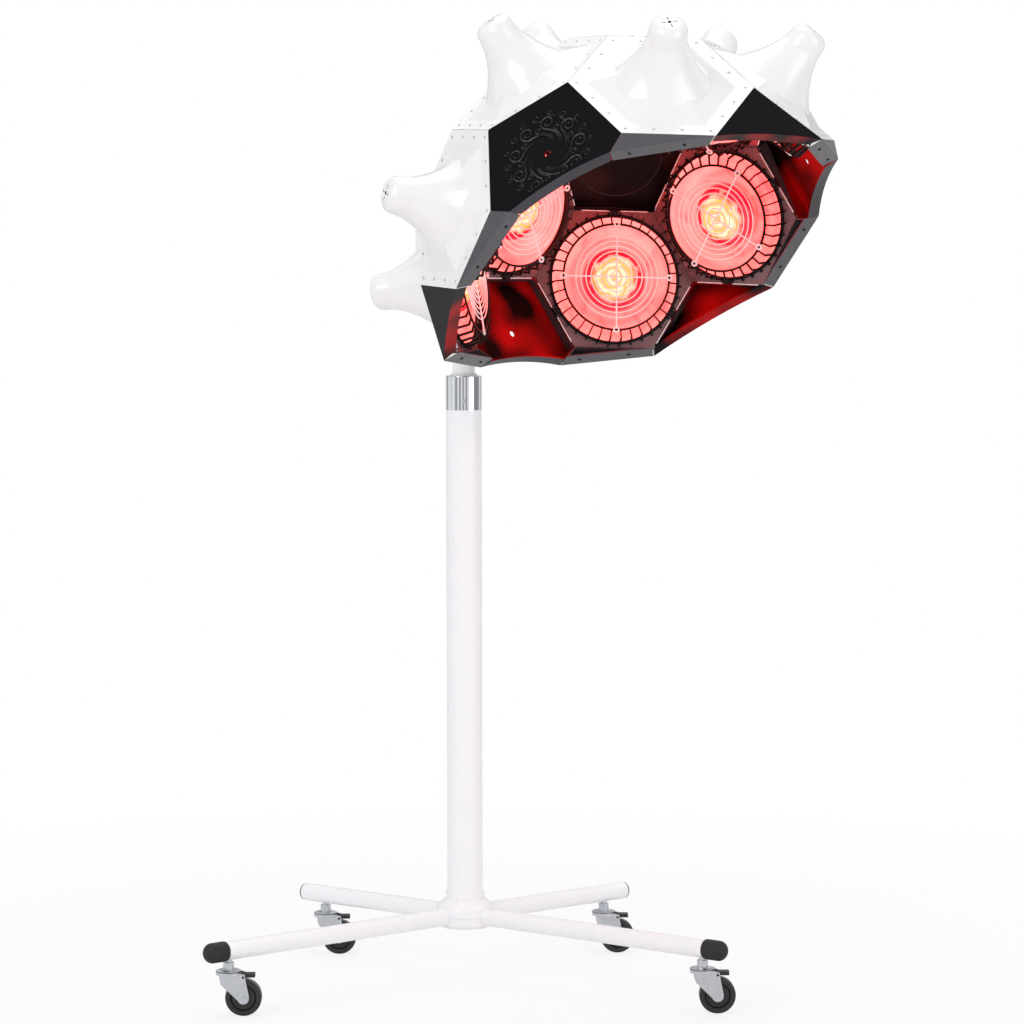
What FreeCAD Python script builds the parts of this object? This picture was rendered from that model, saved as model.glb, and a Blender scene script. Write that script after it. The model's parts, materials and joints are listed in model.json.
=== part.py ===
import FreeCAD, Part
import math
import os
import re
import Sketcher
from FreeCAD import Placement, Rotation, Vector

# Hair colour processor: a faceted lamp hood, built like a truncated icosahedron cut open at its
# rim, carried on a telescopic pole with a four-legged base on braked casters.
# Millimetres. Origin on the floor under the pole, +Z up, the long front legs towards -Y.

# ---------------------------------------------------------------------------------- dimensions
SIZES = {
    # casters
    "wheel_diameter": 50, "wheel_width": 20, "caster_trail": 20.4, "caster_plate_height": 60.5,
    "caster_plate_diameter": 34.6, "caster_plate_thickness": 4.5, "caster_race_thickness": 2.6,
    "caster_stem_diameter": 10, "caster_nut_diameter": 15, "axle_diameter": 6,
    "fork_sheet": 1.8, "fork_side_gap": 1.2, "brake_width": 16, "brake_thickness": 5,
    "brake_reach": 16, "brake_pin_diameter": 3.6, "brake_lift": 4, "brake_offset": 3,
    # legs and hub
    "leg_diameter": 25.4, "leg_wall": 1.6, "leg_height": 88.8, "leg_start": 22,
    "front_leg_angle": 39.3, "rear_leg_angle": 38.6, "front_leg_reach": 444,
    "rear_leg_reach": 304.2, "front_stem_inset": 24, "rear_stem_inset": 38.3,
    "cap_diameter": 28, "cap_overlap": 18.4, "cap_length": 33.4, "cap_plug_depth": 12,
    "plug_thickness": 3, "plug_depth": 14, "hub_diameter": 84, "hub_top_diameter": 58, "hub_bottom": 72,
    "hub_shoulder": 104, "hub_top": 113, "foot_ring_diameter": 56, "foot_ring_height": 10,
    "bolt_diameter": 8,
    # pole, collar and mast
    "pole_diameter": 50.8, "pole_wall": 2, "pole_foot_height": 102.5, "pole_top": 819,
    "pole_plug_height": 12, "collar_height": 49, "collar_diameter": 51.6, "collar_spigot": 40,
    "mast_diameter": 32, "mast_wall": 2, "mast_bottom": 340, "mast_top": 1074,
    "bush_flange_diameter": 39, "bush_flange": 3, "guide_height": 40,
    "lock_stem_diameter": 8, "lock_knob_diameter": 32, "lock_knob_length": 20, "lock_rise": 26,
    "set_screw_diameter": 6, "set_screw_length": 6, "set_screw_rise": 13,
    # head on the mast
    "yoke_width": 92, "yoke_front": 19, "yoke_back": 50, "yoke_base": 6, "yoke_cheek": 6,
    "yoke_eye_diameter": 34, "yoke_pin_diameter": 20, "yoke_pin_length": 34,
    "mast_bush_flange": 3, "pivot_forward": 17.5, "pivot_rise": 51.7, "pivot_pin": 10,
    "ring_diameter": 62, "tilt_knob_diameter": 38, "tilt_knob_length": 18,
    "box_width": 70, "box_depth": 42, "box_height": 104, "box_wall": 2.5, "box_cover": 3,
    "dial_diameter": 30, "dial_length": 14, "switch_width": 15, "switch_height": 21,
    "inlet_width": 27, "inlet_height": 20, "inlet_depth": 16, "inlet_wall": 1.4,
    # hood
    "hood_edge": 122, "hood_heading": -49.4, "hood_tilt": 34.86, "panel_depth": 19, "strip_depth": 22,
    "panel_wall": 2.5, "seam": 0.6, "rim_cut": 0.24, "side_arc_rise": 7, "corner_arc_rise": 5,
    "panel_hole_diameter": 9,
    "facet_radius": 100, "facet_top_radius": 56, "facet_rise": 16,
    "horn_skirt_radius": 66, "horn_skirt_rise": 7, "horn_root_radius": 58, "horn_root_rise": 16,
    "horn_flare_radius": 140, "horn_neck_radius": 27, "horn_neck_rise": 70,
    "horn_shoulder_radius": 25, "horn_shoulder_rise": 86, "horn_height": 99,
    "horn_tip_diameter": 26, "tip_hole_diameter": 5,
    # lamp modules
    "plate_thickness": 2.2, "lamp_opening_diameter": 178,
    "reflector_wall": 1.2, "reflector_step_radius": 62, "reflector_step_drop": 5,
    "reflector_throat_radius": 34, "reflector_throat_rise": 5, "reflector_top_rise": 13,
    "holder_diameter": 38, "holder_flange": 3, "holder_end": 5, "holder_start": 13.5,
    "bulb_diameter": 90, "bulb_depth": 24, "bulb_flat_radius": 2, "bulb_neck_diameter": 27,
    "bulb_centre": -17, "bulb_neck_rise": 16, "bulb_wall": 1, "cage_diameter": 187, "cage_bar": 2.5,
    "cage_inner_diameter": 153, "cage_height": 25, "cage_ribs": 36, "cage_rib_width": 2,
    "cage_stub": 3.5, "cage_foot_width": 4, "lug_diameter": 11, "lug_circle": 188,
    "lug_thickness": 2.5, "guard_wire": 1.8, "guard_rings": 8, "guard_pitch": 7.3,
    "guard_eyelet_diameter": 9, "small_screw_diameter": 4.4,
    # running clearances
    "pin_clearance": 0.05, "holder_clearance": 0.4, "slide_clearance": 0.2, "seat_gap": 0.3,
}

GOLDEN = (1 + math.sqrt(5)) / 2
FACE_OF_HEXAGON = GOLDEN ** 2 * math.sqrt(3) / 2      # centre of the ball to a hexagon, per edge
FACE_OF_PENTAGON = math.sqrt(125 + 41 * math.sqrt(5)) / math.sqrt(40)

doc = FreeCAD.newDocument("HairProcessor")
sheet = doc.addObject("Spreadsheet::Sheet", "Dims")
for row, (alias, number) in enumerate(SIZES.items(), start=1):
    sheet.set("A%d" % row, alias)
    sheet.set("B%d" % row, str(number))
    sheet.setAlias("B%d" % row, alias)
doc.recompute()


# ------------------------------------------------------------------------------------- helpers
def tied(text):
    """An expression written with plain names, with each name pointing at its cell."""
    return re.sub(r"[a-z_]+", lambda m: "Dims." + m.group() if m.group() in SIZES else m.group(),
                  str(text))


def value(text):
    return float(sheet.evalExpression(tied(text)))


def bind(item, **sizes):
    for name, text in sizes.items():
        item.setExpression(name, tied(text))


def put(item, x="0", y="0", z="0"):
    """Ties an object's position to the sheet."""
    for axis, text in zip("xyz", (x, y, z)):
        item.setExpression("Placement.Base." + axis, tied(text))
    return item


def cylinder(name, radius, height, x="0", y="0", z="0", turn=Rotation()):
    item = doc.addObject("Part::Cylinder", name)
    bind(item, Radius=radius, Height=height)
    item.Placement = Placement(Vector(), turn)
    return put(item, x, y, z)


def block(name, length, width, height, x="0", y="0", z="0"):
    item = doc.addObject("Part::Box", name)
    bind(item, Length=length, Width=width, Height=height)
    return put(item, x, y, z)


def fuse(name, shapes):
    item = doc.addObject("Part::MultiFuse", name)
    item.Shapes = shapes
    return item


def cut(name, base, tool):
    item = doc.addObject("Part::Cut", name)
    item.Base = base
    item.Tool = tool
    return item


def common(name, shapes):
    item = doc.addObject("Part::MultiCommon", name)
    item.Shapes = shapes
    return item


def copy(name, source, place):
    """The same object again at another place."""
    item = doc.addObject("Part::Compound", name)
    item.Links = [source]
    item.Placement = place
    return item


def group(name, members):
    item = doc.addObject("Part::Compound", name)
    item.Links = members
    return item


def plane_of(body, role):
    return [item for item in body.Origin.OriginFeatures if item.Role == role][0]


def draw(body, name, role, outline):
    """A closed sketch. Each point is (x, y), or (x, y, radius) where an arc ends at the point;
    a radius that starts with a minus sign turns the arc clockwise."""
    sketch = body.newObject("Sketcher::SketchObject", name)
    sketch.AttachmentSupport = [(plane_of(body, role), "")]
    sketch.MapMode = "FlatFace"
    spots = [Vector(value(point[0]), value(point[1]), 0) for point in outline]
    for index, spot in enumerate(spots):
        arrival = outline[(index + 1) % len(outline)]
        after = spots[(index + 1) % len(spots)]
        if len(arrival) == 2:
            sketch.addGeometry(Part.LineSegment(spot, after), False)
            continue
        radius = abs(value(arrival[2]))
        chord = after - spot
        side = Vector(-chord.y, chord.x, 0).normalize()
        if arrival[2].startswith("-"):
            side = side * -1
        middle = (spot + after) * 0.5
        centre = middle + side * math.sqrt(max(radius ** 2 - chord.Length ** 2 / 4, 0))
        sketch.addGeometry(Part.Arc(spot, centre - side * radius, after), False)
    for index in range(len(outline)):
        here, after = index, (index + 1) % len(outline)
        clockwise = len(outline[after]) == 3 and outline[after][2].startswith("-")
        start = 2 if clockwise else 1
        nextwise = len(outline[(after + 1) % len(outline)]) == 3
        nextwise = nextwise and outline[(after + 1) % len(outline)][2].startswith("-")
        sketch.addConstraint(Sketcher.Constraint("Coincident", here, 3 - start, after,
                                                 2 if nextwise else 1))
        for kind, text in zip(("DistanceX", "DistanceY"), outline[here][:2]):
            mark = sketch.addConstraint(Sketcher.Constraint(kind, here, start, value(text)))
            sketch.renameConstraint(mark, "%s_%d" % (kind[-1].lower(), here))
            sketch.setExpression("Constraints.%s_%d" % (kind[-1].lower(), here), tied(text))
        if len(outline[after]) == 3:
            text = outline[after][2].lstrip("-")
            mark = sketch.addConstraint(Sketcher.Constraint("Radius", here, value(text)))
            sketch.renameConstraint(mark, "radius_%d" % here)
            sketch.setExpression("Constraints.radius_%d" % here, tied(text))
    return sketch


def turned(name, outline):
    """A body turned about Z from a half section of (radius, height) points."""
    body = doc.addObject("PartDesign::Body", name)
    sketch = draw(body, name + "Section", "XZ_Plane", outline)
    spin = body.newObject("PartDesign::Revolution", name + "Turned")
    spin.Profile = sketch
    spin.ReferenceAxis = (sketch, ["V_Axis"])
    spin.Angle = 360
    return body


def plate(name, role, outline, thickness):
    """A flat body padded evenly to both sides of an origin plane."""
    body = doc.addObject("PartDesign::Body", name)
    sketch = draw(body, name + "Outline", role, outline)
    pad = body.newObject("PartDesign::Pad", name + "Pad")
    pad.Profile = sketch
    pad.Midplane = True
    bind(pad, Length=thickness)
    return body


def frustum(name, sides, radius, low, high, shrink_low, shrink_high):
    """A straight-sided block between two polygons. The shrinks scale the polygon's radius."""
    ends = []
    for mark, level, shrink in (("Low", low, shrink_low), ("High", high, shrink_high)):
        ring = doc.addObject("Part::RegularPolygon", name + mark)
        ring.Polygon = sides
        bind(ring, Circumradius="(%s) * (%s)" % (radius, shrink))
        ends.append(put(ring, z=level))
    loft = doc.addObject("Part::Loft", name)
    loft.Sections = ends
    loft.Solid = True
    loft.Ruled = True
    return loft


NODES = []


def node(label, item, place=None):
    """Names a finished piece and keeps it for its file."""
    item.Label = label
    if place is not None:
        item.Placement = place
    NODES.append(item)
    return item


ALONG_X = Rotation(Vector(0, 1, 0), 90)
ALONG_Y = Rotation(Vector(1, 0, 0), -90)


def around(angle, reach=0, height=0):
    """A place on a circle about the pole, turned to look outwards."""
    turn = Rotation(Vector(0, 0, 1), angle)
    return Placement(turn.multVec(Vector(reach, 0, height)), turn)


# ---------------------------------------------------------------------------- legs and the hub
FRONT = value("front_leg_angle")
REAR = value("rear_leg_angle")
LEGS = {"front_left": FRONT - 180, "front_right": -FRONT, "rear_left": 180 - REAR,
        "rear_right": REAR}
STEM_REACH = {"front": "(front_leg_reach - front_stem_inset)",
              "rear": "(rear_leg_reach - rear_stem_inset)"}

for leg, angle in LEGS.items():
    end = "front" if leg.startswith("front") else "rear"
    reach = end + "_leg_reach"
    name = "Leg" + leg.title().replace("_", "")
    skin = cylinder(name + "Skin", "leg_diameter / 2", reach + " - leg_start", x="leg_start",
                    turn=ALONG_X)
    bore = cylinder(name + "Bore", "leg_diameter / 2 - leg_wall", reach, turn=ALONG_X)
    stem_hole = cylinder(name + "StemHole", "caster_stem_diameter / 2 + pin_clearance",
                         "leg_diameter", x=STEM_REACH[end], z="-leg_diameter")
    node("leg_" + leg, cut(name, skin, fuse(name + "Holes", [bore, stem_hole])),
         around(angle, 0, value("leg_height")))


def hub_half(name, outline):
    body = turned(name + "Body", outline)
    holes = []
    for leg, angle in LEGS.items():
        channel = cylinder(name + leg.title().replace("_", ""), "leg_diameter / 2 + pin_clearance",
                           "hub_diameter", x="leg_start - 1", turn=ALONG_X)
        holes.append(copy(channel.Name + "Placed", channel,
                          around(angle, 0, value("leg_height"))))
    return cut(name, body, fuse(name + "Channels", holes))


BOLT = "bolt_diameter / 2 + pin_clearance"
node("hub_lower", hub_half("HubLower", [
    (BOLT, "hub_bottom + 6"), (BOLT, "hub_bottom"), ("hub_diameter / 2 - 8", "hub_bottom"),
    ("hub_diameter / 2", "hub_bottom + 8", "8"), ("hub_diameter / 2", "leg_height - 0.3"),
    (BOLT, "leg_height - 0.3")]))
node("hub_upper", hub_half("HubUpper", [
    (BOLT, "leg_height"), ("hub_diameter / 2", "leg_height"),
    ("hub_diameter / 2", "hub_shoulder - 4"), ("hub_diameter / 2 - 3", "hub_shoulder", "4"),
    ("hub_top_diameter / 2", "hub_top"),
    ("pole_diameter / 2 + pin_clearance", "hub_top"),
    ("pole_diameter / 2 + pin_clearance", "pole_foot_height - pin_clearance"),
    (BOLT, "pole_foot_height - pin_clearance")]))
node("foot_ring", turned("FootRing", [
    ("pole_diameter / 2 + pin_clearance", "hub_top + pin_clearance"),
    ("foot_ring_diameter / 2", "hub_top + pin_clearance"),
    ("foot_ring_diameter / 2", "hub_top + foot_ring_height - 1.5"),
    ("foot_ring_diameter / 2 - 1.5", "hub_top + foot_ring_height", "1.5"),
    ("pole_diameter / 2 + pin_clearance", "hub_top + foot_ring_height")]))

CAP_MOUTH = "(cap_plug_depth - cap_overlap)"
CAP_END = "(cap_plug_depth - cap_overlap + cap_length)"
cap = turned("LegCap", [
    ("0", "0"), ("leg_diameter / 2 - leg_wall - slide_clearance", "0"),
    ("leg_diameter / 2 - leg_wall - slide_clearance", "cap_plug_depth"),
    ("leg_diameter / 2 + pin_clearance", "cap_plug_depth"),
    ("leg_diameter / 2 + pin_clearance", CAP_MOUTH), ("cap_diameter / 2 - 0.6", CAP_MOUTH),
    ("cap_diameter / 2", CAP_MOUTH + " + 2"), ("cap_diameter / 2", CAP_END + " - 11"),
    ("cap_diameter / 2 - 10", CAP_END, "12.4"), ("0", CAP_END)])
CAP_SEAT = value("front_leg_reach - cap_plug_depth")
caps = [copy("LegCap" + side.title(), cap,
             around(LEGS["front_" + side], CAP_SEAT, value("leg_height"))
             * Placement(Vector(), ALONG_X)) for side in ("left", "right")]
node("leg_caps_front", group("LegCaps", caps))

plug = turned("LegPlug", [
    ("0", "-plug_depth"), ("leg_diameter / 2 - leg_wall - slide_clearance", "-plug_depth"),
    ("leg_diameter / 2 - leg_wall - slide_clearance", "0"), ("leg_diameter / 2 - 0.4", "0"),
    ("leg_diameter / 2 - 0.4", "plug_thickness - 1"), ("leg_diameter / 2 - 1.4", "plug_thickness"),
    ("0", "plug_thickness")])
plugs = [copy("LegPlug" + side.title(), plug,
              around(LEGS["rear_" + side], value("rear_leg_reach"), value("leg_height"))
              * Placement(Vector(), ALONG_X)) for side in ("left", "right")]
node("leg_plugs_rear", group("LegPlugs", plugs))

# ------------------------------------------------------------------------------------- casters
PLATE_TOP = "caster_plate_height"
caster_top = turned("CasterTop", [
    ("0", PLATE_TOP + " + seat_gap"), ("caster_plate_diameter / 2", PLATE_TOP + " + seat_gap"),
    ("caster_plate_diameter / 2", PLATE_TOP + " + seat_gap + caster_race_thickness / 2"),
    ("caster_plate_diameter / 2 - 4", PLATE_TOP + " + caster_race_thickness + seat_gap"),
    ("caster_nut_diameter / 2", PLATE_TOP + " + caster_race_thickness + 1"),
    ("caster_nut_diameter / 2", "leg_height - cap_diameter / 2 - 1.5"),
    ("caster_stem_diameter / 2", "leg_height - cap_diameter / 2 - 1"),
    ("caster_stem_diameter / 2", "leg_height + leg_diameter / 2 - leg_wall - 2"),
    ("0", "leg_height + leg_diameter / 2 - leg_wall - 2")])
STEMS = {leg: around(angle, value(STEM_REACH[leg.split("_")[0]])).Base
         for leg, angle in LEGS.items()}
node("caster_mounts", group("CasterMounts", [
    copy("CasterTop" + leg.title().replace("_", ""), caster_top, Placement(spot, Rotation()))
    for leg, spot in STEMS.items()]))

AXLE_HEIGHT = "wheel_diameter / 2"
FORK_HALF = "(wheel_width / 2 + fork_side_gap + fork_sheet)"
EYE = "8"
BRAKE_X = "caster_plate_diameter / 2 + brake_offset"
BRAKE_Z = "wheel_diameter + brake_lift"
cheek = [
    ("-caster_plate_diameter / 2 + 4", PLATE_TOP + " - 1"),
    ("-caster_plate_diameter / 2 + 7", PLATE_TOP + " - 16"),
    ("caster_trail - 7.4", AXLE_HEIGHT + " - 3"), ("caster_trail + 7.4", AXLE_HEIGHT + " - 3", EYE),
    ("caster_trail + 7.9", AXLE_HEIGHT + " + 2"),
    (BRAKE_X + " + 3.4", BRAKE_Z + " - 4"), (BRAKE_X + " + 2.6", BRAKE_Z + " + 3.4"),
    ("caster_plate_diameter / 2 - 2", PLATE_TOP + " - 1")]


def caster_fork(name):
    """A pressed steel fork: round swivel plate, two cheeks and the riveted axle between them."""
    body = plate(name + "Cheeks", "XZ_Plane", cheek, "2 * " + FORK_HALF)
    gap = block(name + "Gap", "3 * caster_plate_diameter",
                "wheel_width + 2 * fork_side_gap", PLATE_TOP,
                x="-caster_plate_diameter", y="-wheel_width / 2 - fork_side_gap")
    swivel = cylinder(name + "Plate", "caster_plate_diameter / 2", "caster_plate_thickness",
                      z=PLATE_TOP + " - caster_plate_thickness")
    sides = cut(name + "Sides", body, gap)
    whole = fuse(name + "Whole", [sides, swivel])
    holes = [cylinder(name + "AxleHole", "axle_diameter / 2", "4 * " + FORK_HALF,
                      x="caster_trail", y="-2 * " + FORK_HALF, z=AXLE_HEIGHT, turn=ALONG_Y),
             cylinder(name + "BrakeHole", "brake_pin_diameter / 2 + pin_clearance",
                      "4 * " + FORK_HALF, x=BRAKE_X, y="-2 * " + FORK_HALF, z=BRAKE_Z,
                      turn=ALONG_Y)]
    shell = cut(name + "Shell", whole, fuse(name + "Holes", holes))
    axle = cylinder(name + "Axle", "axle_diameter / 2", "2 * " + FORK_HALF + " + 2",
                    x="caster_trail", y="-" + FORK_HALF + " - 1", z=AXLE_HEIGHT, turn=ALONG_Y)
    return group(name, [shell, axle])


wheel_section = [
    ("axle_diameter / 2 + pin_clearance", "-wheel_width / 2 - fork_side_gap + 0.4"),
    ("8", "-wheel_width / 2 - fork_side_gap + 0.4"), ("8", "-wheel_width / 2 + 3"),
    ("wheel_diameter / 2 - 9", "-wheel_width / 2 + 3"),
    ("wheel_diameter / 2 - 7", "-wheel_width / 2"), ("wheel_diameter / 2 - 2.5", "-wheel_width / 2"),
    ("wheel_diameter / 2", "-wheel_width / 2 + 2.5", "2.5"),
    ("wheel_diameter / 2", "wheel_width / 2 - 2.5"),
    ("wheel_diameter / 2 - 2.5", "wheel_width / 2", "2.5"),
    ("wheel_diameter / 2 - 7", "wheel_width / 2"),
    ("wheel_diameter / 2 - 9", "wheel_width / 2 - 3"), ("8", "wheel_width / 2 - 3"),
    ("8", "wheel_width / 2 + fork_side_gap - 0.4"),
    ("axle_diameter / 2 + pin_clearance", "wheel_width / 2 + fork_side_gap - 0.4")]


def caster_brake(name):
    """A toe pedal that hinges between the fork cheeks above the tread."""
    pedal = block(name + "Pedal", "brake_reach", "brake_width", "brake_thickness",
                  x=BRAKE_X, y="-brake_width / 2", z=BRAKE_Z + " - 1")
    pin = cylinder(name + "Pin", "brake_pin_diameter / 2", "2 * " + FORK_HALF,
                   x=BRAKE_X, y="-" + FORK_HALF, z=BRAKE_Z, turn=ALONG_Y)
    barrel = cylinder(name + "Barrel", "brake_thickness / 2", "brake_width",
                      x=BRAKE_X, y="-brake_width / 2", z=BRAKE_Z, turn=ALONG_Y)
    return fuse(name, [pedal, barrel, pin])


for leg, spot in STEMS.items():
    name = "Caster" + leg.title().replace("_", "")
    at_stem = Placement(spot, Rotation())
    node("caster_fork_" + leg, caster_fork(name + "Fork"), at_stem)
    node("caster_wheel_" + leg, turned(name + "Wheel", wheel_section), Placement(
        spot + Vector(value("caster_trail"), 0, value(AXLE_HEIGHT)), ALONG_Y))
    node("caster_brake_" + leg, caster_brake(name + "Brake"), at_stem)

# ---------------------------------------------------------------------------- pole and collar
POLE_BORE = "pole_diameter / 2 - pole_wall"
node("pole", turned("Pole", [
    (BOLT, "pole_foot_height"), ("pole_diameter / 2", "pole_foot_height"),
    ("pole_diameter / 2", "pole_top"), (POLE_BORE, "pole_top"),
    (POLE_BORE, "pole_foot_height + pole_plug_height"),
    (BOLT, "pole_foot_height + pole_plug_height")]))

BUSH_BORE = "mast_diameter / 2 + slide_clearance"
BUSH_OUT = "mast_diameter / 2 + 3"
LOCK_HEIGHT = "(pole_top + lock_rise)"
SET_SCREW_HEIGHT = "(pole_top + set_screw_rise)"
collar_body = turned("CollarBody", [
    (BUSH_OUT, "pole_top - collar_spigot"), (POLE_BORE + " - 0.1", "pole_top - collar_spigot"),
    (POLE_BORE + " - 0.1", "pole_top + pin_clearance"),
    ("collar_diameter / 2", "pole_top + pin_clearance"),
    ("collar_diameter / 2", "pole_top + collar_height - 1.5"),
    ("collar_diameter / 2 - 1.5", "pole_top + collar_height", "1.5"),
    (BUSH_OUT, "pole_top + collar_height")])
lock_hole = cylinder("LockHole", "lock_stem_diameter / 2 + pin_clearance", "collar_diameter",
                     z=LOCK_HEIGHT, turn=ALONG_Y)
screw_hole = cylinder("SetScrewHole", "set_screw_diameter / 2", "collar_diameter",
                      y="-collar_diameter", z=SET_SCREW_HEIGHT, turn=ALONG_Y)
collar_holes = fuse("CollarHoles", [lock_hole, screw_hole])
node("pole_collar", cut("PoleCollar", collar_body, collar_holes))

bush_body = turned("BushBody", [
    (BUSH_BORE, "pole_top - collar_spigot + 2"),
    (BUSH_OUT + " - pin_clearance", "pole_top - collar_spigot + 2"),
    (BUSH_OUT + " - pin_clearance", "pole_top + collar_height + pin_clearance"),
    ("bush_flange_diameter / 2", "pole_top + collar_height + pin_clearance"),
    ("bush_flange_diameter / 2 - 1", "pole_top + collar_height + bush_flange"),
    (BUSH_BORE, "pole_top + collar_height + bush_flange")])
bush_lock_hole = cylinder("BushLockHole", "lock_stem_diameter / 2 + pin_clearance",
                          "collar_diameter", z=LOCK_HEIGHT, turn=ALONG_Y)
bush_slit = block("BushSlit", "mast_diameter", "1.5", "2 * (collar_height + collar_spigot)",
                  y="-0.75", z="pole_top - 2 * collar_spigot")
node("collar_bush", cut("CollarBush", bush_body, fuse("BushCuts", [bush_lock_hole, bush_slit])))

knob_stem = cylinder("LockStem", "lock_stem_diameter / 2", "collar_diameter / 2 - mast_diameter / 2",
                     y="mast_diameter / 2 + 0.3", z=LOCK_HEIGHT, turn=ALONG_Y)
knob_grip = turned("LockGrip", [
    ("0", "0"), ("lock_knob_diameter / 2 - 4", "0"), ("lock_knob_diameter / 2", "5"),
    ("lock_knob_diameter / 2", "lock_knob_length - 3"),
    ("lock_knob_diameter / 2 - 3", "lock_knob_length", "3"), ("0", "lock_knob_length")])
knob_grip.Placement = Placement(
    Vector(0, value("collar_diameter / 2 + seat_gap"), value(LOCK_HEIGHT)), ALONG_Y)
node("height_lock_knob", fuse("HeightLockKnob", [knob_stem, knob_grip]))

centre_bolt = turned("CentreBolt", [
    ("0", "hub_bottom - 5.3"), ("6.5", "hub_bottom - 5.3"), ("6.5", "hub_bottom - pin_clearance"),
    ("bolt_diameter / 2", "hub_bottom - pin_clearance"),
    ("bolt_diameter / 2", "pole_foot_height + pole_plug_height + 4"),
    ("0", "pole_foot_height + pole_plug_height + 4")])
set_screw = turned("SetScrew", [
    ("0", "0"), ("set_screw_diameter / 2 - pin_clearance", "0"),
    ("set_screw_diameter / 2 - pin_clearance", "set_screw_length"),
    ("set_screw_diameter / 2 - 0.6", "set_screw_length + 0.6"),
    ("1.4", "set_screw_length + 0.6"), ("1.4", "set_screw_length - 1.4"),
    ("0", "set_screw_length - 1.4")])
set_screw.Placement = Placement(
    Vector(0, value("set_screw_length - collar_diameter / 2"), value(SET_SCREW_HEIGHT)),
    Rotation(Vector(1, 0, 0), 90))
node("stand_screws", group("StandScrews", [centre_bolt, set_screw]))

# ---------------------------------------------------------------------------------------- mast
MAST_BORE = "mast_diameter / 2 - mast_wall"
node("mast_tube", turned("MastTube", [
    (MAST_BORE, "mast_bottom"), ("mast_diameter / 2", "mast_bottom"),
    ("mast_diameter / 2", "mast_top"), (MAST_BORE, "mast_top")]))
node("mast_guide", turned("MastGuide", [
    ("0", "mast_bottom - 4"), (POLE_BORE + " - slide_clearance", "mast_bottom - 4"),
    (POLE_BORE + " - slide_clearance", "mast_bottom - 4 + guide_height"),
    ("mast_diameter / 2 + pin_clearance", "mast_bottom - 4 + guide_height"),
    ("mast_diameter / 2 + pin_clearance", "mast_bottom - pin_clearance"),
    (MAST_BORE + " - pin_clearance", "mast_bottom - pin_clearance"),
    (MAST_BORE + " - pin_clearance", "mast_bottom + 20"), ("0", "mast_bottom + 20")]))
node("mast_top_bush", turned("MastTopBush", [
    ("yoke_pin_diameter / 2 + pin_clearance", "mast_top - yoke_pin_length - 4"),
    (MAST_BORE + " - pin_clearance", "mast_top - yoke_pin_length - 4"),
    (MAST_BORE + " - pin_clearance", "mast_top + pin_clearance"),
    ("mast_diameter / 2 + 2", "mast_top + pin_clearance"),
    ("mast_diameter / 2 + 2", "mast_top + mast_bush_flange"),
    ("yoke_pin_diameter / 2 + pin_clearance", "mast_top + mast_bush_flange")]))

# ------------------------------------------- head: yoke, control box. Local +X is the heading
HEADING = around(value("hood_heading"))
YOKE_BOTTOM = "mast_top + mast_bush_flange + seat_gap"
CHEEK_INNER = "(yoke_width / 2 - yoke_cheek)"
PIVOT_HEIGHT = "(mast_top + pivot_rise)"
cheek_sides = plate("YokeCheeks", "XZ_Plane", [
    ("-mast_diameter / 2 - 6", YOKE_BOTTOM), ("yoke_front", YOKE_BOTTOM),
    ("pivot_forward + yoke_eye_diameter / 2", PIVOT_HEIGHT),
    ("pivot_forward - yoke_eye_diameter / 2", PIVOT_HEIGHT, "yoke_eye_diameter / 2 + 0.01")],
    "yoke_width")
throat = block("YokeThroat", "200", "2 * " + CHEEK_INNER, "200", x="-100", y="-" + CHEEK_INNER,
               z=YOKE_BOTTOM)
yoke_floor = block("YokeFloor", "yoke_front + yoke_back", "yoke_width", "yoke_base",
                   x="-yoke_back", y="-yoke_width / 2", z=YOKE_BOTTOM)
yoke_pin = cylinder("YokePin", "yoke_pin_diameter / 2", "yoke_pin_length + 1",
                    z=YOKE_BOTTOM + " - yoke_pin_length")
eye_bore = cylinder("YokeEyes", "pivot_pin / 2 + pin_clearance", "2 * yoke_width",
                    x="pivot_forward", y="-yoke_width", z=PIVOT_HEIGHT, turn=ALONG_Y)
yoke_whole = fuse("YokeWhole", [cut("YokeSides", cheek_sides, throat), yoke_floor, yoke_pin])
node("head_yoke", cut("HeadYoke", yoke_whole, eye_bore), HEADING)

BOX_FRONT = "-mast_diameter / 2 - 4"
BOX_TOP = "mast_top + mast_bush_flange"
box_skin = block("BoxSkin", "box_depth", "box_width", "box_height",
                 x=BOX_FRONT + " - box_depth", y="-box_width / 2", z=BOX_TOP + " - box_height")
box_room = block("BoxRoom", "box_depth", "box_width - 2 * box_wall", "box_height - 2 * box_wall",
                 x=BOX_FRONT + " - box_depth - box_wall", y="-box_width / 2 + box_wall",
                 z=BOX_TOP + " - box_height + box_wall")
inlet_hole = block("InletHole", "inlet_height", "inlet_width", "3 * box_wall",
                   x=BOX_FRONT + " - box_depth / 2 - inlet_height / 2", y="-inlet_width / 2",
                   z=BOX_TOP + " - box_height - box_wall")
node("control_box", cut("ControlBox", box_skin, fuse("BoxCuts", [box_room, inlet_hole])), HEADING)

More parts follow.
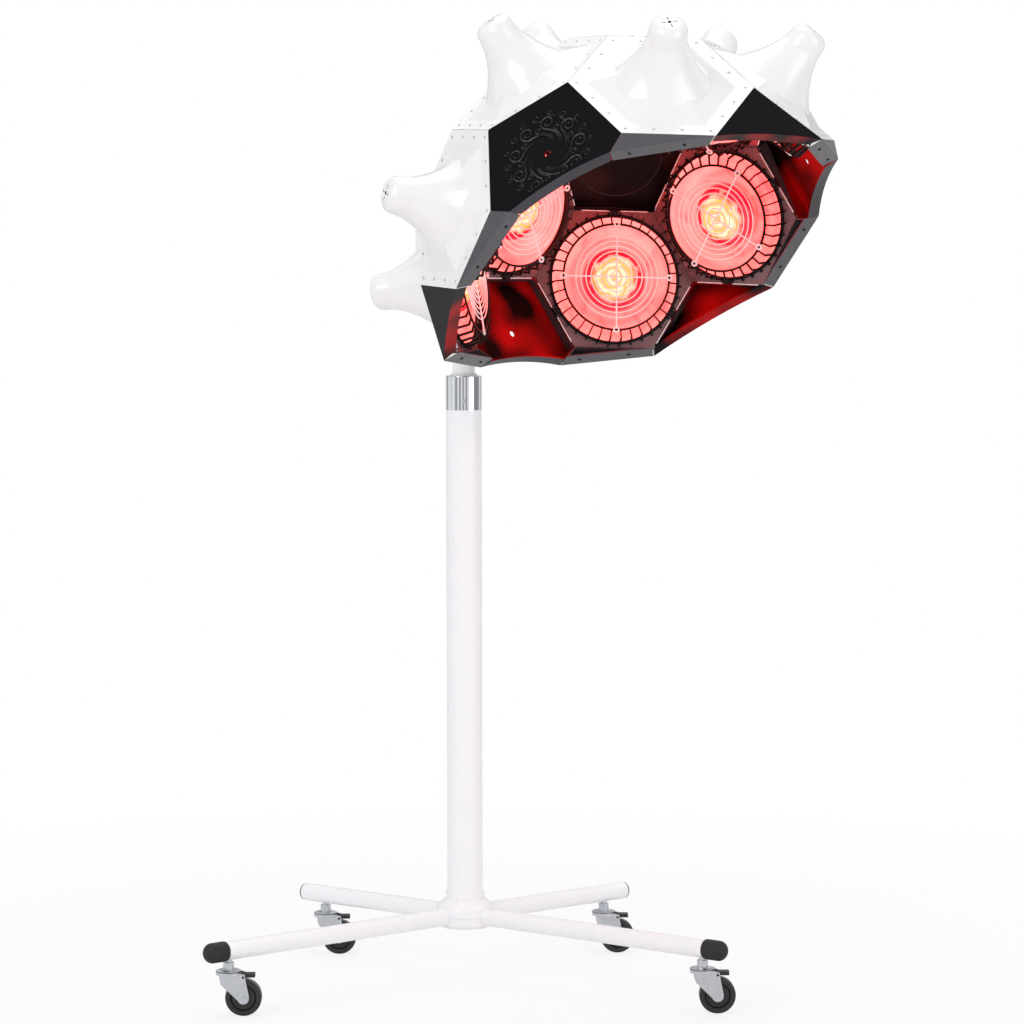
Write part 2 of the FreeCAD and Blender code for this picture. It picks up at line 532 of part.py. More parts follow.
COVER_FACE = BOX_FRONT + " - box_depth"
DIAL_HEIGHT = BOX_TOP + " - box_height * 0.33"
SWITCH_HEIGHT = BOX_TOP + " - box_height * 0.72"
cover_sheet = block("CoverSheet", "box_cover", "box_width", "box_height",
                    x=COVER_FACE + " - box_cover - pin_clearance", y="-box_width / 2",
                    z=BOX_TOP + " - box_height")
dial_hole = cylinder("DialHole", "3 + pin_clearance", "3 * box_cover",
                     x=COVER_FACE + " - 2 * box_cover", z=DIAL_HEIGHT, turn=ALONG_X)
switch_hole = block("SwitchHole", "3 * box_cover", "switch_width", "switch_height",
                    x=COVER_FACE + " - 2 * box_cover", y="-switch_width / 2",
                    z=SWITCH_HEIGHT + " - switch_height / 2")
node("control_cover", cut("ControlCover", cover_sheet,
                          fuse("CoverCuts", [dial_hole, switch_hole])), HEADING)

inlet_body = block("InletBody", "inlet_height - 0.4", "inlet_width - 0.4", "inlet_depth + 1",
                   x=BOX_FRONT + " - box_depth / 2 - inlet_height / 2 + 0.2",
                   y="-inlet_width / 2 + 0.2", z=BOX_TOP + " - box_height - 1")
inlet_flange = block("InletFlange", "inlet_height + 5", "inlet_width + 8", "2",
                     x=BOX_FRONT + " - box_depth / 2 - inlet_height / 2 - 2.5",
                     y="-inlet_width / 2 - 4", z=BOX_TOP + " - box_height - 2.05")
inlet_well = block("InletWell", "inlet_height - 2 * inlet_wall", "inlet_width - 2 * inlet_wall",
                   "inlet_depth", x=BOX_FRONT + " - box_depth / 2 - inlet_height / 2 + inlet_wall",
                   y="-inlet_width / 2 + inlet_wall", z=BOX_TOP + " - box_height - 2.5")
inlet_shell = cut("InletShell", fuse("InletWhole", [inlet_body, inlet_flange]), inlet_well)
blades = [block("InletBlade%d" % mark, "4", "2", "inlet_depth - 3",
                x=BOX_FRONT + " - box_depth / 2 - %d" % (2 - (mark == 1) * 4),
                y="%d" % (7 * mark - 8), z=BOX_TOP + " - box_height + 2") for mark in range(3)]
node("power_inlet", fuse("PowerInlet", [inlet_shell] + blades), HEADING)

SWITCH_GAP = "0.3"
rocker = plate("RockerBody", "XZ_Plane", [
    (COVER_FACE + " + 5", SWITCH_HEIGHT + " - 3"), (COVER_FACE + " + 5", SWITCH_HEIGHT + " + 3"),
    (COVER_FACE + " - box_cover - 1.2",
     SWITCH_HEIGHT + " + switch_height / 2 - " + SWITCH_GAP + " - 0.6"),
    (COVER_FACE + " - box_cover - 1.4", SWITCH_HEIGHT),
    (COVER_FACE + " - box_cover - 4.2",
     SWITCH_HEIGHT + " - switch_height / 2 + " + SWITCH_GAP + " + 2.4")],
    "switch_width - 2 * " + SWITCH_GAP)
node("power_switch", rocker, HEADING)

dial = turned("TimerDial", [
    ("0", "-4"), ("3", "-4"), ("3", "box_cover + seat_gap + pin_clearance"),
    ("dial_diameter / 2", "box_cover + seat_gap + pin_clearance"),
    ("dial_diameter / 2 - 1.5", "box_cover + dial_length - 2"),
    ("dial_diameter / 2 - 3.5", "box_cover + dial_length", "2.6"),
    ("0", "box_cover + dial_length")])
node("timer_knob", dial, HEADING * Placement(
    Vector(value(COVER_FACE), 0, value(DIAL_HEIGHT)), Rotation(Vector(0, 1, 0), -90)))


# -------------------------------------------------------------- hood: where each facet belongs
def ball_corners():
    """The twelve corners of an icosahedron of edge 2; each one is a pentagon of the ball."""
    corners = []
    for first in (-1, 1):
        for second in (-GOLDEN, GOLDEN):
            corners += [Vector(0, first, second), Vector(first, second, 0),
                        Vector(second, 0, first)]
    return corners


CORNERS = ball_corners()
CROWN = Vector(1, 1, 1).normalize()
FRONTWAYS = Vector(0, 1, -GOLDEN)
FRONTWAYS = (FRONTWAYS - CROWN * FRONTWAYS.dot(CROWN)).normalize()
UPRIGHT = Rotation(FRONTWAYS, CROWN.cross(FRONTWAYS), CROWN, "ZXY").inverted()


def beside(one, other):
    return abs((one - other).Length - 2) < 1e-6


def facets():
    """(sides, vertices) of every pentagon and hexagon, crown up and front along +X, edge 1."""
    found = []
    for corner in CORNERS:
        near = [other for other in CORNERS if beside(corner, other)]
        found.append((5, [UPRIGHT.multVec(corner * 2 + other) * 0.5 for other in near]))
    for i, one in enumerate(CORNERS):
        for j, two in enumerate(CORNERS[:i]):
            for three in CORNERS[:j]:
                trio = (one, two, three)
                if beside(one, two) and beside(two, three) and beside(one, three):
                    ring = [UPRIGHT.multVec(p * 2 + q) * 0.5 for p in trio for q in trio if p != q]
                    found.append((6, ring))
    return found


def frame_on(ring, toward):
    """A facet's own frame: origin at its centre, Z outwards, X towards one of its vertices."""
    edge = value("hood_edge")
    centre = Vector()
    for vertex in ring:
        centre += vertex * (edge / len(ring))
    out = Vector(centre).normalize()
    ahead = (toward * edge - centre).normalize()
    return Placement(centre, Rotation(ahead, out.cross(ahead), out, "ZXY"))


def height_first(vertex):
    return round(vertex.z, 3), round(vertex.x, 3), round(vertex.y, 3)


def lamp_frame(ring):
    """A lamp's frame. Its edge at 30 degrees is the highest of those that a pentagon shares;
    a hexagon's corners come in pairs, and the two of a pair bound such an edge."""
    one, other = max(zip(ring[::2], ring[1::2]), key=lambda pair: height_first(pair[0] + pair[1]))
    frame = frame_on(ring, one)
    if frame.inverse().multVec(other * value("hood_edge")).y > 0:
        return frame
    return frame_on(ring, other)


def bearing(ring):
    """(tilt from the crown, azimuth from the front) of a facet, in degrees."""
    centre = Vector()
    for vertex in ring:
        centre += vertex
    tilt = math.degrees(math.acos(centre.z / centre.Length))
    return tilt, math.degrees(math.atan2(centre.y, centre.x)) if tilt > 1 else 0


def side_name(azimuth):
    turn = abs(azimuth)
    if turn < 1:
        return "front"
    if turn > 179:
        return "back"
    part = ["front", "upper", "side", "rear"][(turn > 40) + (turn > 80) + (turn > 125)]
    return part + ("_left" if azimuth > 0 else "_right")


RIM_TILT = 115
LAMPS, FULL, SIDE, CORNER, STRIPS = {}, {}, {}, {}, {}
for sides, ring in facets():
    tilt, azimuth = bearing(ring)
    if tilt > RIM_TILT:
        continue
    lowest = min(ring, key=lambda vertex: vertex.z)
    highest = max(ring, key=lambda vertex: vertex.z)
    place = side_name(azimuth)
    if sides == 6 and tilt < 90:
        LAMPS["crown" if tilt < 1 else place] = lamp_frame(ring)
    elif sides == 6:
        # the vertex beside the side panel stays; the rim line runs past its lower neighbour
        start = [vertex for vertex in ring if 0 < vertex.z < 0.3][0]
        frame = frame_on(ring, start)
        near = sorted((v for v in ring if abs((v - start).Length - 1) < 1e-6),
                      key=lambda v: v.z)[-1]
        hand = 1 if frame.inverse().multVec(near * value("hood_edge")).y > 0 else -1
        STRIPS[place] = (frame, hand)
    elif tilt < 60:
        FULL[place] = frame_on(ring, lowest)
    elif tilt < 90:
        SIDE[place] = frame_on(ring, lowest)
    else:
        CORNER[place] = frame_on(ring, highest)

LEFT = Vector(0, 1, 0)
BACK_OUT = Vector(LAMPS["back"].Base).normalize()
BACK = Placement(LAMPS["back"].Base, Rotation(LEFT.cross(BACK_OUT), LEFT, BACK_OUT, "ZXY"))
PIVOT_ON_HORN = "((horn_neck_rise + horn_shoulder_rise) / 2)"
PIVOT = BACK.multVec(Vector(0, 0, value(PIVOT_ON_HORN)))
LEAN = Rotation(Vector(0, 1, 0), -value("hood_tilt"))
HOOD = (HEADING * Placement(Vector(value("pivot_forward"), 0, value(PIVOT_HEIGHT)), LEAN)
        * Placement(PIVOT * -1, Rotation()))

# -------------------------------------------------------------- hood: covers over each hexagon
HEX_RADIUS = "(hood_edge - seam / 2)"
HEX_FACE = "(hood_edge * %.6f)" % FACE_OF_HEXAGON
HEX_SHRINK = "1 - (%s) / " + HEX_FACE


def horn(name, inset):
    """The horn and its flare as one turned solid, inset by a wall."""
    inset = " - " + inset
    return turned(name, [
        ("0", "-4"), ("horn_skirt_radius" + inset, "-4"),
        ("horn_skirt_radius" + inset, "horn_skirt_rise" + inset),
        ("horn_root_radius" + inset, "horn_root_rise" + inset),
        ("horn_neck_radius" + inset, "horn_neck_rise", "-horn_flare_radius"),
        ("horn_shoulder_radius" + inset, "horn_shoulder_rise"),
        ("horn_tip_diameter / 2" + inset + " / 2", "horn_height" + inset,
         "(horn_height - horn_shoulder_rise + 1)"),
        ("0", "horn_height" + inset)])


def hexagon_cover():
    """A pressed cover: hexagonal tray, six raised facets and a hollow horn for the lampholder."""
    wall = "panel_wall"
    outer = [
        frustum("CoverTray", 6, HEX_RADIUS, "-panel_depth", "0", HEX_SHRINK % "panel_depth", "1"),
        frustum("CoverFacets", 6, "facet_radius", "-1", "facet_rise", "1",
                "facet_top_radius / facet_radius"),
        horn("CoverHorn", "0")]
    inner = [
        frustum("CoverRoom", 6, HEX_RADIUS + " - panel_wall * 1.16", "-panel_depth - 1",
                "-" + wall, HEX_SHRINK % "(panel_depth + 1)", HEX_SHRINK % wall),
        frustum("CoverFacetRoom", 6, "facet_radius - panel_wall / 4", "-panel_wall - 1",
                "facet_rise - panel_wall", "1",
                "(facet_top_radius - panel_wall / 4) / (facet_radius - panel_wall / 4)"),
        horn("CoverHornRoom", wall),
        cylinder("CoverTipHole", "tip_hole_diameter / 2", "3 * horn_height")]
    return cut("HexagonCover", fuse("CoverSkin", outer), fuse("CoverHollow", inner))


cover = hexagon_cover()
for place, frame in LAMPS.items():
    name = "Cover" + place.title().replace("_", "")
    node("hood_cover_" + place, copy(name, cover, HOOD * frame))

# ------------------------------------------------------------ hood: black pentagons at the rim
PENT_RADIUS = "(hood_edge * %.6f - seam / 2)" % (0.5 / math.sin(math.pi / 5))
PENT_FACE = "(hood_edge * %.6f)" % FACE_OF_PENTAGON
PENT_SHRINK = "1 - (%s) / " + PENT_FACE
NEAR_X = "(%s * %.6f)" % (PENT_RADIUS, math.cos(math.radians(72)))
WAIST_Y = "(%s * %.6f)" % (PENT_RADIUS, math.sin(math.radians(72)))


def tray(name, sides, radius, shrink, depth="panel_depth"):
    outer = frustum(name + "Outer", sides, radius, "-" + depth, "0", shrink % depth, "1")
    inner = frustum(name + "Inner", sides, radius + " - panel_wall * 1.2", "-%s - 1" % depth,
                    "-panel_wall", shrink % ("(%s + 1)" % depth), shrink % "panel_wall")
    return outer, inner


def arc_cutter(name, radius, edge, way, grown):
    """A tall cylinder that reaches x = edge from the side of way, grown by a wall."""
    return cylinder(name, "(%s) + (%s)" % (radius, grown), "6 * panel_depth",
                    x="(%s) + %d * (%s)" % (edge, way, radius), z="-3 * panel_depth")


def panel_hole(name):
    return cylinder(name + "Hole", "panel_hole_diameter / 2", "3 * panel_depth",
                    z="-1.5 * panel_depth")


def rim_panel(name, line, half_chord, rise, way):
    """A pentagon tray cut off at the rim along a shallow arc, with a lip on the cut.
    The part that goes is the one on the side of way: +1 the tip, -1 all but the tip."""
    radius = "((%s) ^ 2 + (%s) ^ 2) / (2 * (%s))" % (half_chord, rise, rise)
    outer, inner = tray(name, 5, PENT_RADIUS, PENT_SHRINK)
    edge = "(%s) - %d * (%s)" % (line, way, rise)
    skin = cut(name + "Skin", outer, arc_cutter(name + "Arc", radius, edge, way, "0"))
    room = cut(name + "Room", inner, arc_cutter(name + "Lip", radius, edge, way, "panel_wall"))
    if way < 0:
        return cut(name, skin, room)
    return cut(name, skin, fuse(name + "Cuts", [room, panel_hole(name)]))


def full_panel(name):
    outer, inner = tray(name, 5, PENT_RADIUS, PENT_SHRINK)
    return cut(name, outer, fuse(name + "Cuts", [inner, panel_hole(name)]))


SIDE_LINE = "(%s + rim_cut * (%s - %s))" % (NEAR_X, PENT_RADIUS, NEAR_X)
SIDE_CHORD = "((1 - rim_cut) * %s)" % WAIST_Y
full = full_panel("FullPanel")
side = rim_panel("SidePanel", SIDE_LINE, SIDE_CHORD, "side_arc_rise", 1)
corner = rim_panel("CornerPanel", NEAR_X, WAIST_Y, "corner_arc_rise", -1)
for label, source, frames in (("panels_upper", full, FULL), ("panels_side", side, SIDE),
                              ("panels_corner", corner, CORNER)):
    members = [copy(label.title().replace("_", "") + place.title().replace("_", ""), source, frame)
               for place, frame in frames.items()]
    node(label, group(label.title().replace("_", ""), members), HOOD)

# ------------------------------------------------------------- hood: strips that close the rim
SHANK = "(small_screw_diameter / 2 - 1)"
RIM_START = ("hood_edge * 0.5", "hood_edge * %.6f" % math.sin(math.radians(60)))
RIM_END = ("hood_edge * (1 - rim_cut / 2)", "-hood_edge * rim_cut * %.6f" % math.sin(math.radians(60)))
RIM_TURN = math.degrees(math.atan2(value(RIM_START[1]) - value(RIM_END[1]),
                                   value(RIM_START[0]) - value(RIM_END[0])))
# The lip leans with the seams: its plane runs through the centre of the ball.
RIM_NEAR = value(RIM_START[1]) * math.cos(math.radians(RIM_TURN)) \
    - value(RIM_START[0]) * math.sin(math.radians(RIM_TURN))
LIP_LEAN = math.degrees(math.atan2(abs(RIM_NEAR), value(HEX_FACE)))


small_screw = turned("SmallScrew", [
    ("0", "-panel_wall - 0.9"), (SHANK, "-panel_wall - 0.9"), (SHANK, "pin_clearance"),
    ("small_screw_diameter / 2", "pin_clearance"), ("small_screw_diameter / 2", "1"), ("1", "1.6"),
    ("0", "1.6")])
screw_bore = cylinder("SmallScrewBore", SHANK + " + pin_clearance", "10", z="-8")


def lip_places(hand):
    """Where the two screws of a rim strip sit, on the outside of its lip."""
    start = Vector(value(RIM_START[0]), hand * value(RIM_START[1]), 0)
    along = Vector(value(RIM_END[0]), hand * value(RIM_END[1]), 0) - start
    outward = Vector(along.y, -along.x, 0).normalize() * hand
    lean = math.radians(LIP_LEAN)
    deeper = outward * math.tan(lean) - Vector(0, 0, 1)
    facing = outward * math.cos(lean) + Vector(0, 0, math.sin(lean))
    return [Placement(start + along * share + deeper * (value("strip_depth") / 2),
                      Rotation(Vector(0, 0, 1), facing)) for share in (0.29, 0.81)]


def rim_strip(name, hand):
    """What is left of a hexagon below the lamps: a narrow three-cornered tray with a lip."""
    outer, inner = tray(name, 6, HEX_RADIUS, HEX_SHRINK, "strip_depth")
    away = Rotation(Vector(0, 0, 1), hand * RIM_TURN) * Rotation(Vector(1, 0, 0), hand * LIP_LEAN)
    halves = []
    for mark, step in (("Skin", "0"), ("Room", "panel_wall")):
        keep = block(name + mark + "Keep", "4 * hood_edge", "2 * hood_edge", "6 * panel_depth",
                     x="-2 * hood_edge",
                     y="-2 * hood_edge - (%s)" % step if hand > 0 else step,
                     z="-3 * panel_depth")
        at_line = Placement(Vector(value(RIM_END[0]), hand * value(RIM_END[1]), 0), away)
        halves.append(copy(name + mark + "Side", keep, at_line))
    skin = common(name + "Skin", [outer, halves[0]])
    room = common(name + "Room", [inner, halves[1]])
    bores = [copy("%sBore%d" % (name, mark), screw_bore, place)
             for mark, place in enumerate(lip_places(hand))]
    return cut(name, skin, fuse(name + "Cuts", [room] + bores))


strips = {1: rim_strip("StripLeft", 1), -1: rim_strip("StripRight", -1)}
node("rim_strips", group("RimStrips", [
    copy("Strip" + place.title().replace("_", ""), strips[hand], frame)
    for place, (frame, hand) in STRIPS.items()]), HOOD)

# ------------------------------------------------------------- lamp modules behind each cover
PLATE_TOP_Z = "-panel_depth - pin_clearance"
PLATE_BOTTOM_Z = "-panel_depth - pin_clearance - plate_thickness"
PLATE_SHRINK = HEX_SHRINK % "(panel_depth + pin_clearance + plate_thickness)"
plate_blank = frustum("PlateBlank", 6, HEX_RADIUS, PLATE_BOTTOM_Z, PLATE_TOP_Z, PLATE_SHRINK,
                      PLATE_SHRINK)
LUG_TURNS = (30, 150, 270)          # at the middle of each edge that a pentagon shares
plate_hole = cylinder("PlateHole", "lamp_opening_diameter / 2", "3 * plate_thickness",
                      z=PLATE_BOTTOM_Z + " - plate_thickness")
plate_bores = [
    copy("PlateBore%d" % turn, cylinder("PlateBoreSeed%d" % turn, SHANK + " + pin_clearance", "40",
                                        x="lug_circle / 2", z="-40"),
         Placement(Vector(), Rotation(Vector(0, 0, 1), turn))) for turn in LUG_TURNS]
inner_plate = cut("InnerPlate", plate_blank, fuse("PlateHoles", [plate_hole] + plate_bores))

OPENING = "lamp_opening_diameter / 2"
reflector = turned("Reflector", [
    (OPENING + " - seat_gap", PLATE_BOTTOM_Z), (OPENING + " - seat_gap", PLATE_TOP_Z + " + 1"),
    ("reflector_step_radius", "-reflector_step_drop"),
    ("reflector_throat_radius", "reflector_throat_rise"),
    ("holder_diameter / 2 + seat_gap", "reflector_top_rise"),
    ("holder_diameter / 2 + seat_gap", "reflector_top_rise - 1.7 * reflector_wall"),
    ("reflector_throat_radius - reflector_wall", "reflector_throat_rise - 1.5 * reflector_wall"),
    ("reflector_step_radius - reflector_wall", "-reflector_step_drop - 1.5 * reflector_wall"),
    (OPENING + " - reflector_wall - 1", PLATE_TOP_Z + " + 0.2"),
    (OPENING + " - reflector_wall - seat_gap", PLATE_BOTTOM_Z)])

HOLDER_TOP = "horn_neck_rise + holder_flange + holder_end"
HOLDER_SEAT = "(horn_neck_radius - panel_wall - 0.5 - seat_gap)"
BULB_SLOPE = "(bulb_diameter - bulb_neck_diameter) / 2 / (bulb_neck_rise - bulb_centre)"
HOLDER_BORE = "bulb_neck_diameter / 2 + holder_clearance"
holder = turned("Lampholder", [
    (HOLDER_BORE + " + (bulb_neck_rise - holder_start) * " + BULB_SLOPE, "holder_start"),
    ("holder_diameter / 2", "holder_start"), ("holder_diameter / 2", "horn_neck_rise - 2"),
    (HOLDER_SEAT, "horn_neck_rise"), (HOLDER_SEAT, "horn_neck_rise + holder_flange"),
    ("holder_diameter / 2 - 2", HOLDER_TOP), ("0", HOLDER_TOP), ("0", HOLDER_TOP + " - 6"),
    (HOLDER_BORE, HOLDER_TOP + " - 6"), (HOLDER_BORE, "bulb_neck_rise")])

NECK = "bulb_neck_diameter / 2"
BULB = "bulb_diameter / 2"
NECK_INSIDE = "(bulb_neck_diameter / 2 - bulb_wall)"
BULB_INSIDE = "(bulb_diameter / 2 - bulb_wall)"
INSIDE_DEPTH = "(bulb_depth - bulb_wall)"


def bulb_front(radius, depth):
    """Of one skin of the bulb: where its domed face ends, and the arcs of face and round edge."""
    edge, rise = "(0.85 * %s)" % radius, "(0.55 * %s)" % depth
    return edge, rise, "((%s ^ 2 + %s ^ 2) / (2 * %s))" % (edge, rise, rise), "(0.3 * %s)" % radius


EDGE, RISE, FACE_ARC, EDGE_ARC = bulb_front(BULB, "bulb_depth")
EDGE_INSIDE, RISE_INSIDE, FACE_ARC_INSIDE, EDGE_ARC_INSIDE = bulb_front(BULB_INSIDE, INSIDE_DEPTH)
bulb = turned("Bulb", [
    ("0", "bulb_centre - bulb_depth"), ("bulb_flat_radius", "bulb_centre - bulb_depth"),
    (EDGE, "bulb_centre - bulb_depth + " + RISE, FACE_ARC),
    (BULB, "bulb_centre", EDGE_ARC),
    (NECK, "bulb_neck_rise"), (NECK, HOLDER_TOP + " - 12"),
    ("5", HOLDER_TOP + " - 7"), ("0", HOLDER_TOP + " - 7"),
    ("0", HOLDER_TOP + " - 14"), (NECK_INSIDE, HOLDER_TOP + " - 14"),
    (NECK_INSIDE, "bulb_neck_rise"), (BULB_INSIDE, "bulb_centre"),
    (EDGE_INSIDE, "bulb_centre - %s + %s" % (INSIDE_DEPTH, RISE_INSIDE), "-" + EDGE_ARC_INSIDE),
    ("bulb_flat_radius", "bulb_centre - " + INSIDE_DEPTH, "-" + FACE_ARC_INSIDE),
    ("0", "bulb_centre - " + INSIDE_DEPTH)])

CAGE_FOOT = PLATE_BOTTOM_Z + " - pin_clearance"
CAGE_OUT = "cage_diameter / 2"
CAGE_IN = "cage_inner_diameter / 2"
cage = turned("LampCage", [
    (CAGE_OUT + " - cage_foot_width", CAGE_FOOT), (CAGE_OUT, CAGE_FOOT),
    (CAGE_OUT, CAGE_FOOT + " - cage_bar"),
    (CAGE_OUT + " - cage_foot_width", CAGE_FOOT + " - cage_bar")])
rib_sketch = draw(cage, "RibSection", "XZ_Plane", [
    (CAGE_OUT + " + cage_stub", CAGE_FOOT + " - 0.4 * cage_bar"),
    (CAGE_OUT + " + cage_stub", CAGE_FOOT + " - 1.4 * cage_bar"),
    (CAGE_OUT + " - 0.2 * cage_bar", CAGE_FOOT + " - 1.4 * cage_bar"),
    (CAGE_OUT + " - cage_foot_width", CAGE_FOOT + " - cage_height + 0.8 * cage_bar"),
    (CAGE_IN, CAGE_FOOT + " - cage_height"), (CAGE_IN, CAGE_FOOT + " - cage_height + cage_bar"),
    (CAGE_OUT + " - cage_foot_width - cage_bar", CAGE_FOOT + " - cage_height + 1.8 * cage_bar"),
    (CAGE_OUT + " - cage_foot_width + 0.3 * cage_bar", CAGE_FOOT + " - 0.4 * cage_bar")])
rib = cage.newObject("PartDesign::Pad", "CageRib")
rib.Profile = rib_sketch
rib.Midplane = True
bind(rib, Length="cage_rib_width")
ribs = cage.newObject("PartDesign::PolarPattern", "CageRibs")
ribs.Originals = [rib]
ribs.Axis = (plane_of(cage, "Z_Axis"), [""])
ribs.Angle = 360
bind(ribs, Occurrences="cage_ribs")
cage.Tip = ribs
inner_ring_sketch = draw(cage, "CageInnerRing", "XZ_Plane", [
    (CAGE_IN + " - cage_bar", CAGE_FOOT + " - cage_height"),
    (CAGE_IN + " + 0.5", CAGE_FOOT + " - cage_height"),
    (CAGE_IN + " + 0.5", CAGE_FOOT + " - cage_height + cage_bar"),
    (CAGE_IN + " - cage_bar", CAGE_FOOT + " - cage_height + cage_bar")])
inner_ring = cage.newObject("PartDesign::Revolution", "CageInnerRingTurned")
inner_ring.Profile = inner_ring_sketch
inner_ring.ReferenceAxis = (inner_ring_sketch, ["V_Axis"])
inner_ring.Angle = 360
cage.Tip = inner_ring
cage.Placement = Placement(Vector(), Rotation(Vector(0, 0, 1), LUG_TURNS[0] + value("180 / cage_ribs")))
LUG_PLACES = [Placement(Vector(), Rotation(Vector(0, 0, 1), turn)) for turn in LUG_TURNS]


def at_lugs(name, seed):
    return [copy("%s%d" % (name, mark), seed, place) for mark, place in enumerate(LUG_PLACES)]


lug = cylinder("CageLug", "lug_diameter / 2", "lug_thickness", x="lug_circle / 2",
               z=CAGE_FOOT + " - lug_thickness")
lug_hole = cylinder("CageLugHole", SHANK + " + pin_clearance", "40", x="lug_circle / 2",
                    z=CAGE_FOOT + " - 20")
lug_bores = fuse("CageLugBores", at_lugs("CageLugBore", lug_hole))
caged = cut("LampCageLugged", fuse("LampCageWhole", [cage] + at_lugs("CageLugs", lug)), lug_bores)

GUARD_LEVEL = CAGE_FOOT + " - cage_height - guard_wire / 2 - 0.2 - pin_clearance"
SPOKE_LENGTH = "(cage_inner_diameter - guard_eyelet_diameter)"
EYELET_PLACE = "(cage_inner_diameter / 2 - 1)"


def hoop(name, radius):
    """One ring of the guard; its wire is drawn with six sides."""
    corners = []
    for turn in range(0, 360, 60):
        across, up = (round(f(math.radians(turn)), 6) for f in (math.cos, math.sin))
        corners.append(("%s + guard_wire / 2 * (%s)" % (radius, across),
                        "%s + guard_wire / 2 * (%s)" % (GUARD_LEVEL, up)))
    return turned(name, corners)


wires = [hoop("GuardHoop%d" % count, "guard_pitch * %d" % count)
         for count in range(1, int(value("guard_rings")) + 1)]
wires.append(cylinder("GuardSpokeLong", "guard_wire / 2 + 0.2", SPOKE_LENGTH, x="-%s / 2" % SPOKE_LENGTH,
                      z=GUARD_LEVEL, turn=ALONG_X))
wires.append(cylinder("GuardSpokeCross", "guard_wire / 2 + 0.2", SPOKE_LENGTH,
                      y="-%s / 2" % SPOKE_LENGTH, z=GUARD_LEVEL, turn=ALONG_Y))
for count, (x, y) in enumerate(((1, 0), (0, 1), (-1, 0), (0, -1))):
    rim = cylinder("GuardEye%d" % count, "guard_eyelet_diameter / 2", "guard_wire",
                   x="%d * %s" % (x, EYELET_PLACE), y="%d * %s" % (y, EYELET_PLACE),
                   z=GUARD_LEVEL + " - guard_wire / 2")
    eye = cylinder("GuardEyeHole%d" % count, "guard_eyelet_diameter / 4", "3 * guard_wire",
                   x="%d * %s" % (x, EYELET_PLACE), y="%d * %s" % (y, EYELET_PLACE),
                   z=GUARD_LEVEL + " - 1.5 * guard_wire")
    wires.append(cut("GuardEyelet%d" % count, rim, eye))
guard = fuse("WireGuard", wires)

guard_turned = copy("WireGuardTurned", guard, LUG_PLACES[0])

for label, source in (("inner_plates", inner_plate), ("reflectors", reflector),
                      ("lampholders", holder), ("heat_lamps", bulb), ("lamp_cages", caged),
                      ("wire_guards", guard_turned)):
    stem = label.title().replace("_", "")
    node(label, group(stem, [copy(stem + place.title().replace("_", ""), source, frame)
                             for place, frame in LAMPS.items()]), HOOD)

# ----------------------------------------------------------------------- hood: screws and hinge
screws = []
for place, (frame, hand) in STRIPS.items():
    for mark, spot in enumerate(lip_places(hand)):
        screws.append(copy("RimScrew%s%d" % (place.title().replace("_", ""), mark), small_screw,
                           frame * spot))
lug_screw = copy("LugScrew", small_screw, Placement(
    Vector(value("lug_circle") / 2, 0, value(CAGE_FOOT + " - lug_thickness")), ALONG_X * ALONG_X))
for place, frame in LAMPS.items():
    for mark, spot in enumerate(LUG_PLACES):
        screws.append(copy("CageScrew%s%d" % (place.title().replace("_", ""), mark), lug_screw,
                           frame * spot))
node("hood_screws", group("HoodScrews", screws), HOOD)

BORE_END = "ring_diameter"
BORE_SLOPE = "(horn_neck_radius - horn_shoulder_radius) / (horn_shoulder_rise - horn_neck_rise)"
BORE_MIDDLE = "(horn_neck_radius + horn_shoulder_radius) / 2 + pin_clearance"
trunnion_bore = turned("RingBore", [
    ("0", PIVOT_ON_HORN + " - " + BORE_END),
    (BORE_MIDDLE + " + %s * %s" % (BORE_END, BORE_SLOPE), PIVOT_ON_HORN + " - " + BORE_END),
    (BORE_MIDDLE + " - %s * %s" % (BORE_END, BORE_SLOPE), PIVOT_ON_HORN + " + " + BORE_END),
    ("0", PIVOT_ON_HORN + " + " + BORE_END)])
RING_HALF = "(horn_shoulder_rise - horn_neck_rise) / 2"
trunnion_body = cylinder("RingBody", "ring_diameter / 2", "2 * " + RING_HALF, z="horn_neck_rise")
boss = cylinder("RingBoss", RING_HALF, "2 * (%s - seat_gap)" % CHEEK_INNER,
                y="-(%s - seat_gap)" % CHEEK_INNER, z=PIVOT_ON_HORN, turn=ALONG_Y)
pin_bore = cylinder("RingPinBore", "pivot_pin / 2", "2 * yoke_width", y="-yoke_width",
                    z=PIVOT_ON_HORN, turn=ALONG_Y)
trunnion = cut("HornClamp", fuse("RingWhole", [trunnion_body, boss]),
               fuse("RingHoles", [trunnion_bore, pin_bore]))
node("horn_clamp", trunnion, HOOD * BACK)

PIN_START = "(horn_neck_radius + 1)"
plain_pin = turned("PlainPin", [
    ("0", PIN_START), ("pivot_pin / 2 - pin_clearance / 2", PIN_START),
    ("pivot_pin / 2 - pin_clearance / 2", "yoke_width / 2 + seat_gap"),
    ("pivot_pin * 0.85", "yoke_width / 2 + seat_gap"),
    ("pivot_pin * 0.85", "yoke_width / 2 + 4"), ("pivot_pin * 0.85 - 2", "yoke_width / 2 + 6", "2"),
    ("0", "yoke_width / 2 + 6")])
knob_pin = turned("KnobPin", [
    ("0", PIN_START), ("pivot_pin / 2 - pin_clearance / 2", PIN_START),
    ("pivot_pin / 2 - pin_clearance / 2", "yoke_width / 2 + tilt_knob_length - 4"),
    ("0", "yoke_width / 2 + tilt_knob_length - 4")])
pins = []
for name, source, angle in (("TiltPinPlain", plain_pin, 90), ("TiltPinKnob", knob_pin, -90)):
    pins.append(copy(name, source, Placement(Vector(0, 0, value(PIVOT_ON_HORN)),
                                             Rotation(Vector(1, 0, 0), angle))))
node("tilt_pins", group("TiltPins", pins), HOOD * BACK)

